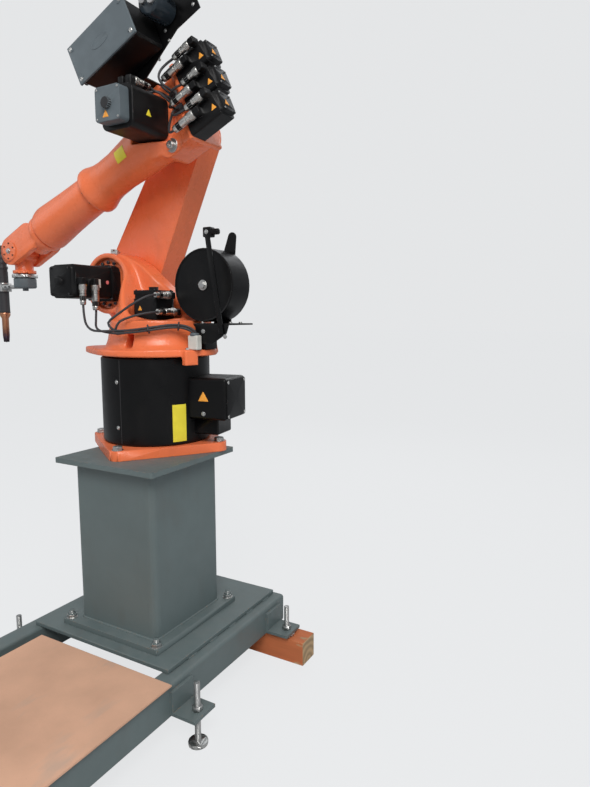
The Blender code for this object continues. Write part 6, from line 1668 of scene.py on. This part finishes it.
@dataclass
class UpperArm:
    """The arm on axis 3: housing, forearm tube and the four motors that it carries."""

    wrist_centres: tuple[Pair, ...] = ((0.016, 0.084), (0.026, -0.024), (0.072, -0.142))
    wrist_names: tuple[str, ...] = ("wrist_motor_upper", "wrist_motor_middle", "wrist_motor_lower")
    wrist_half: float = 0.044
    wrist_rear: float = -0.3263
    wrist_screw_reach: float = 0.0295
    wrist_signal: Pair = (-0.291, 0.038)
    wrist_power: Pair = (-0.238, 0.002)
    wrist_rear_marker: Pair = (0.004, -0.004)
    wrist_near_marker: Pair = (-0.292, -0.012)
    axis_z: float = -0.035
    motor_3_near: float = 0.284
    motor_3_screw_reach: float = 0.049
    motor_3_top: float = 0.075
    motor_3_plugs_x: Pair = (-0.045, -0.008)
    motor_3_plugs_y: float = 0.215
    motor_3_cover_marker: Point = (0.010, 0.284, -0.036)
    motor_3_rear_marker: Point = (-0.075, 0.160, -0.012)
    knob_y: float = 0.272
    hub_bolt: Point = (-0.034, 0.0402, -0.118)
    rim_x: float = 0.4275
    rim_radius: float = 0.0868
    marker_span: Pair = (-0.30, 0.28)
    marker_section: tuple[Pair, ...] = (
        (0.0875, 0.152), (0.0888, 0.152), (0.0862, 0.206), (0.0849, 0.206))

    def build(self) -> None:
        """Dress the castings, the motors and their plugs."""
        replace_node("arm_housing", ArmCasting().shell(), ORANGE, Body.ARM)
        replace_node("forearm_tube", ForearmTube().shell(), ORANGE, Body.ARM)
        smooth_skin("axis_3_motor", MOTOR_BLACK, Body.ARM, 28)
        smooth_skin("axis_3_motor_cover", GREY_COVER, Body.ARM, 28)
        smooth_skin("arm_leads", RUBBER, Body.ARM, 60)
        for node in self.wrist_names:
            smooth_skin(node, MOTOR_BLACK, Body.ARM, 28)
        self.wrist_motors()
        self.motor_3()
        self.fasteners()

    def wrist_motors(self) -> None:
        """Put plugs, screws and plain markers on the three wrist motors."""
        plugs, caps, markers = [], [], []
        for y, z in self.wrist_centres:
            near = y + self.wrist_half
            for (x, rise), kind in ((self.wrist_signal, SIGNAL_PLUG), (self.wrist_power, POWER_PLUG)):
                plugs.append(Plug((x, near, z + rise), (0, 1, 0), (1, 0, 0), kind))
            caps += corner_places(ARM, (self.wrist_rear, y, z), (-1, 0, 0), self.wrist_screw_reach,
                                  self.wrist_screw_reach)
            aside, rise = self.wrist_rear_marker
            markers.append(ARM.at((self.wrist_rear, y + aside, z + rise), (-1, 0, 0)))
            x, rise = self.wrist_near_marker
            markers.append(ARM.at((x, near, z + rise), (0, 1, 0)))
        add_plugs("wrist_motor", plugs, ARM, Body.ARM)
        new_piece("wrist_motor_cap_screws", screw(0.0030).repeated(caps), STEEL, Body.ARM)
        Marker(ORANGE_MARK, reach=0.0070).put("wrist_motor_markers", markers, Body.ARM)

    def motor_3(self) -> None:
        """Put plugs, screws and plain markers on motor 3."""
        plugs = [Plug((x, self.motor_3_plugs_y, self.motor_3_top), (0, 0, 1), (0, -1, 0), kind)
                 for x, kind in zip(self.motor_3_plugs_x, (SIGNAL_PLUG, POWER_PLUG))]
        add_plugs("axis_3_motor", plugs, ELBOW, Body.ARM)
        spots = corner_places(ELBOW, (0, self.motor_3_near, 0), (0, 1, 0), self.motor_3_screw_reach,
                              self.motor_3_screw_reach)
        new_piece("axis_3_cover_screws", screw(0.0040, Drive.PAN).repeated(spots), STEEL, Body.ARM)
        spot = ELBOW.at(self.motor_3_cover_marker, (0, 1, 0))
        Marker(ORANGE_MARK, reach=0.0085).put("axis_3_cover_marker", [spot], Body.ARM)
        spot = ELBOW.at(self.motor_3_rear_marker, (-1, 0, 0))
        Marker(YELLOW_MARK, reach=0.0080).put("axis_3_motor_marker", [spot], Body.ARM)
        knob = fluted([(0.0165, 0.010), (0.0192, 0.0115), (0.0196, 0.0130), (0.0196, 0.0245),
                       (0.0180, 0.0262), (0.0130, 0.0266)], 16, 0.0016, (0.0120, 0.0250))
        new_piece("axis_3_brake_knob", knob.moved(ELBOW.at((0, self.knob_y, 0), (0, 1, 0))), DARK_PLASTIC,
                  Body.ARM)

    def fasteners(self) -> None:
        """Put the hub bolt, the front rim's screws and the plain forearm marker on the castings."""
        bolt = ARM.at(self.hub_bolt, (0, 1, 0), 0.2)
        hub = joined([turned([(0.0250, -0.002), (0.0262, 0.0), (0.0262, 0.004), (0.0250, 0.005)], 36),
                      screw(0.0150).moved(Place((0, 0, 0.004)))])
        new_piece("hub_bolt", hub.moved(bolt), STEEL, Body.ARM)
        new_piece("forearm_marker", self.forearm_marker(), YELLOW_MARK, Body.ARM)
        spots = ring_places(ARM, (self.rim_x, 0, self.axis_z), (1, 0, 0), self.rim_radius, 12, 0.26)
        new_piece("forearm_rim_screws", screw(0.0036).repeated(spots), DARK_STEEL, Body.ARM)

    def forearm_marker(self) -> Shell:
        """Bend a plain marker round the forearm."""
        tube = ARM.at((0, 0, self.axis_z), (1, 0, 0))
        return bent(self.marker_section, self.marker_span, 10).moved(tube)


@dataclass
class Feeder:
    """The wire feeder over the arm: its plate, body, cover and drive."""

    cover_near: float = 0.2483
    cover_x: Pair = (-0.191, 0.111)
    cover_z: Pair = (0.159, 0.311)
    screw_inset: float = 0.016
    oval: Point = (0.046, 0.019, 1.0)
    plate_near: float = 0.094
    plate_screws: tuple[Pair, ...] = (
        (-0.355, 0.215), (-0.355, 0.325), (-0.300, 0.328), (-0.220, 0.330), (-0.090, 0.330),
        (0.050, 0.330), (-0.215, 0.175), (-0.215, 0.215), (0.050, 0.145), (-0.150, 0.145))
    drive_near: float = 0.1943
    rollers_at: tuple[Pair, ...] = ((-0.264, 0.252), (-0.232, 0.274))
    pressure_screw: Pair = (-0.270, 0.286)

    def build(self) -> None:
        """Dress the feeder and put its screws, the cover's oval relief and the rollers on."""
        dress_node("feeder_plate", BLACK)
        dress_node("wire_feeder", BLACK)
        smooth_skin("feeder_cover", GREY_COVER, Body.ARM)
        smooth_skin("feeder_drive", SMOKED, Body.ARM)
        x0, x1 = self.cover_x
        z0, z1 = self.cover_z
        middle = ((x0 + x1) / 2, self.cover_near, (z0 + z1) / 2)
        spots = [ARM.at((x, self.cover_near - 0.0005, z), (0, 1, 0))
                 for x in (x0 + self.screw_inset, x1 - self.screw_inset)
                 for z in (z0 + self.screw_inset, z1 - self.screw_inset)]
        new_piece("feeder_cover_screws", screw(0.0066, Drive.PAN, 0.0085).repeated(spots), STEEL, Body.ARM)
        oval = turned([(0.98, -0.0005), (1.0, 0.0003), (0.97, 0.0008), (0.90, 0.0010), (0.88, 0.0006)], 48)
        oval.points = oval.points * self.oval
        across = Place(ARM.point(middle), (ARM.axes[0], tuple(-np.asarray(ARM.axes[2])), ARM.axes[1]))
        new_piece("feeder_cover_oval", oval.moved(across), GREY_COVER, Body.ARM)
        spots = [ARM.at((x, self.plate_near, z), (0, 1, 0)) for x, z in self.plate_screws]
        new_piece("feeder_plate_screws", screw(0.0045, Drive.PAN, 0.0065).repeated(spots), STEEL, Body.ARM)
        self.rollers()

    def rollers(self) -> None:
        """Put the two ribbed drive rollers and their pressure screw on the drive's near face."""
        roller = fluted([(0.0120, -0.002), (0.0135, 0.0), (0.0140, 0.001), (0.0140, 0.009), (0.0130, 0.010),
                         (0.0060, 0.0105)], 26, 0.0010, (0.0008, 0.0095))
        places = [ARM.at((x, self.drive_near, z), (0, 1, 0)) for x, z in self.rollers_at]
        new_piece("feeder_rollers", roller.repeated(places), STEEL, Body.ARM)
        grip = fluted([(0.0060, -0.002), (0.0085, 0.0), (0.0085, 0.010), (0.0070, 0.012)], 10, 0.0012,
                      (-0.001, 0.0101))
        x, z = self.pressure_screw
        place = ARM.at((x, self.drive_near, z), (0, 1, 0))
        new_piece("feeder_pressure_screw", grip.moved(place), DARK_PLASTIC, Body.ARM)


@dataclass
class WristAndTool:
    """The fork, the hand and the welding torch under it."""

    collar_face: float = 0.0262
    collar_circle: float = 0.0775
    cap_y: float = 0.0780
    cap_circle: float = 0.034
    axis_5_x: float = 0.200
    torch_x: float = 0.164
    bracket_screws: tuple[Point, ...] = ((0.084, 0.0250, -0.157), (0.112, 0.0250, -0.157))
    clamp_screws: tuple[Point, ...] = ((0.164, 0.0365, -0.146), (0.164, 0.0365, -0.168))
    nozzle_tip: float = -0.4198

    def build(self) -> None:
        """Dress the wrist, the hand and the torch and put their small parts on."""
        smooth_skin("wrist_body", ORANGE, Body.WRIST)
        smooth_skin("hand_body", ORANGE, Body.HAND)
        smooth_skin("tool_flange", STEEL, Body.TOOL)
        smooth_skin("tool_block", GREY_COVER, Body.TOOL)
        smooth_skin("torch_bracket", STEEL, Body.TOOL)
        smooth_skin("torch_body", RUBBER, Body.TOOL, 50)
        smooth_skin("torch_nozzle", COPPER, Body.TOOL)
        spots = ring_places(WRIST, (self.collar_face, 0, 0), (1, 0, 0), self.collar_circle, 12)
        new_piece("wrist_collar_screws", screw(0.0036).repeated(spots), DARK_STEEL, Body.WRIST)
        spots = []
        for side in (-1, 1):
            spots += ring_places(WRIST, (self.axis_5_x, side * self.cap_y, 0), (0, side, 0),
                                 self.cap_circle, 6)
        new_piece("wrist_cap_screws", screw(0.0034).repeated(spots), DARK_STEEL, Body.WRIST)
        centre = WRIST.at((self.axis_5_x, self.cap_y, 0), (0, 1, 0))
        new_piece("wrist_cap_centre", screw(0.0080, Drive.HEX, 0.0125).moved(centre), STEEL, Body.WRIST)
        self.torch()

    def torch(self) -> None:
        """Put the clamp screws, the insulating ring, the contact tip and the wire stub on the torch."""
        spots = [HAND.at(point, (0, 1, 0)) for point in self.bracket_screws + self.clamp_screws]
        new_piece("torch_clamp_screws", screw(0.0040).repeated(spots), DARK_STEEL, Body.TOOL)
        axis = HAND.at((self.torch_x, 0, 0))
        ring = turned([(0.0225, -0.2800), (0.0246, -0.2790), (0.0246, -0.2730), (0.0225, -0.2720)], 32)
        new_piece("torch_insulator", ring.moved(axis), DARK_PLASTIC, Body.TOOL)
        tip = turned([(0.0012, self.nozzle_tip - 0.0012), (0.0030, self.nozzle_tip - 0.0008),
                      (0.0042, self.nozzle_tip + 0.005), (0.0042, self.nozzle_tip + 0.012)], 20)
        wire = turned([(0.0005, self.nozzle_tip - 0.0060), (0.0006, self.nozzle_tip - 0.0055),
                       (0.0006, self.nozzle_tip + 0.002)], 10)
        new_piece("contact_tip", joined([tip, wire]).moved(axis), COPPER, Body.TOOL)


@dataclass
class Studio:
    """The camera at the photograph's angle, the pale floor and the soft lights."""

    eye: Point = (-1.656, 2.083, 1.446)
    yaw: float = math.radians(-60.858)
    pitch: float = math.radians(7.387)
    lens: float = 18.116
    sensor: float = 24.0
    floor_half: float = 60.0
    floor_glow: float = 1.10
    floor_share: float = 0.86
    floor_darkness: float = 0.85
    pale: Colour = (0.78, 0.79, 0.80)
    sky: Colour = (0.93, 0.96, 1.0)
    sky_strength: float = 0.42
    aim: Point = (0.1, 0.35, 1.2)

    def build(self) -> None:
        """Make the camera, the floor, the world and the lamps."""
        self.camera()
        self.floor()
        self.world()
        self.lamp("key", (-2.6, 3.4, 4.6), 2.6, 178.0, (1.0, 0.985, 0.96))
        self.lamp("side", (3.4, 2.2, 3.2), 2.6, 18.0, (0.95, 0.98, 1.0))
        self.lamp("back", (0.6, -3.6, 3.6), 3.0, 38.0, (0.96, 0.98, 1.0))

    def camera(self) -> None:
        """Aim the camera: forward = (cos p cos y, cos p sin y, -sin p)."""
        forward = Vector((math.cos(self.pitch) * math.cos(self.yaw),
                          math.cos(self.pitch) * math.sin(self.yaw),
                          -math.sin(self.pitch)))
        right = Vector((math.sin(self.yaw), -math.cos(self.yaw), 0))
        up = right.cross(forward)
        data = bpy.data.cameras.new("camera")
        data.sensor_fit = "VERTICAL"
        data.sensor_height = self.sensor
        data.lens = self.lens
        data.clip_start, data.clip_end = 0.05, 200.0
        camera = bpy.data.objects.new("camera", data)
        turn = Matrix((right, up, -forward)).transposed()
        camera.matrix_world = Matrix.Translation(self.eye) @ turn.to_4x4()
        bpy.context.scene.collection.objects.link(camera)
        bpy.context.scene.camera = camera

    def floor(self) -> None:
        """Lay a plain pale floor at the height that the timber rests on."""
        half = self.floor_half
        mesh = bpy.data.meshes.new("floor")
        mesh.from_pydata([(-half, -half, 0), (half, -half, 0), (half, half, 0), (-half, half, 0)], [],
                         [(0, 1, 2, 3)])
        mesh.materials.append(self.floor_material())
        floor = bpy.data.objects.new("floor", mesh)
        bpy.context.scene.collection.objects.link(floor)

    def floor_material(self) -> bpy.types.Material:
        """Show the camera the floor's own shading with a large share of a plain pale glow over it."""
        graph = Graph("pale floor")
        graph.finish(shade(self.pale, self.floor_darkness), 0.8)
        glow = graph.node("ShaderNodeEmission", {"Color": (*self.pale, 1.0), "Strength": self.floor_glow})
        seen = graph.product(graph.node("ShaderNodeLightPath").outputs["Is Camera Ray"], self.floor_share)
        mixed = graph.node("ShaderNodeMixShader", {0: seen, 1: graph.shader.outputs[0], 2: glow.outputs[0]})
        graph.tree.links.new(mixed.outputs[0], graph.tree.nodes["Material Output"].inputs["Surface"])
        return graph.material

    def world(self) -> None:
        """Light the scene evenly, and show a pale background to the camera."""
        world = bpy.data.worlds.new("studio")
        world.use_nodes = True
        bpy.context.scene.world = world
        nodes, links = world.node_tree.nodes, world.node_tree.links
        light = nodes["Background"]
        light.inputs["Color"].default_value = (*self.sky, 1.0)
        light.inputs["Strength"].default_value = self.sky_strength
        shown = nodes.new("ShaderNodeBackground")
        shown.inputs["Color"].default_value = (*self.pale, 1.0)
        shown.inputs["Strength"].default_value = 1.0
        rays = nodes.new("ShaderNodeLightPath")
        mix = nodes.new("ShaderNodeMixShader")
        links.new(rays.outputs["Is Camera Ray"], mix.inputs[0])
        links.new(light.outputs[0], mix.inputs[1])
        links.new(shown.outputs[0], mix.inputs[2])
        links.new(mix.outputs[0], nodes["World Output"].inputs["Surface"])

    def lamp(self, name: str, place: Point, size: float, power: float, colour: Colour) -> None:
        """Hang a square soft lamp that looks at the robot's middle.

        Args:
            name: Name of the lamp.
            place: Where it hangs.
            size: Side of the square.
            power: Power in watts.
            colour: Colour of the light.
        """
        data = bpy.data.lights.new(name, "AREA")
        data.size, data.energy, data.color = size, power, colour
        lamp = bpy.data.objects.new(name, data)
        aim = Vector(self.aim) - Vector(place)
        lamp.matrix_world = Matrix.Translation(place) @ aim.to_track_quat("-Z", "Y").to_matrix().to_4x4()
        bpy.context.scene.collection.objects.link(lamp)


def main() -> None:
    logging.basicConfig(level=logging.INFO, format="%(name)s: %(message)s")
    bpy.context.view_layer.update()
    bpy.context.scene.view_settings.view_transform = "Standard"
    for part in (Studio(), Skid(), Pedestal(), RobotBase(), Column(), LinkArm(), UpperArm(), Feeder(),
                 WristAndTool()):
        LOG.info("building %s", type(part).__name__)
        part.build()


if __name__ == "__main__":
    main()
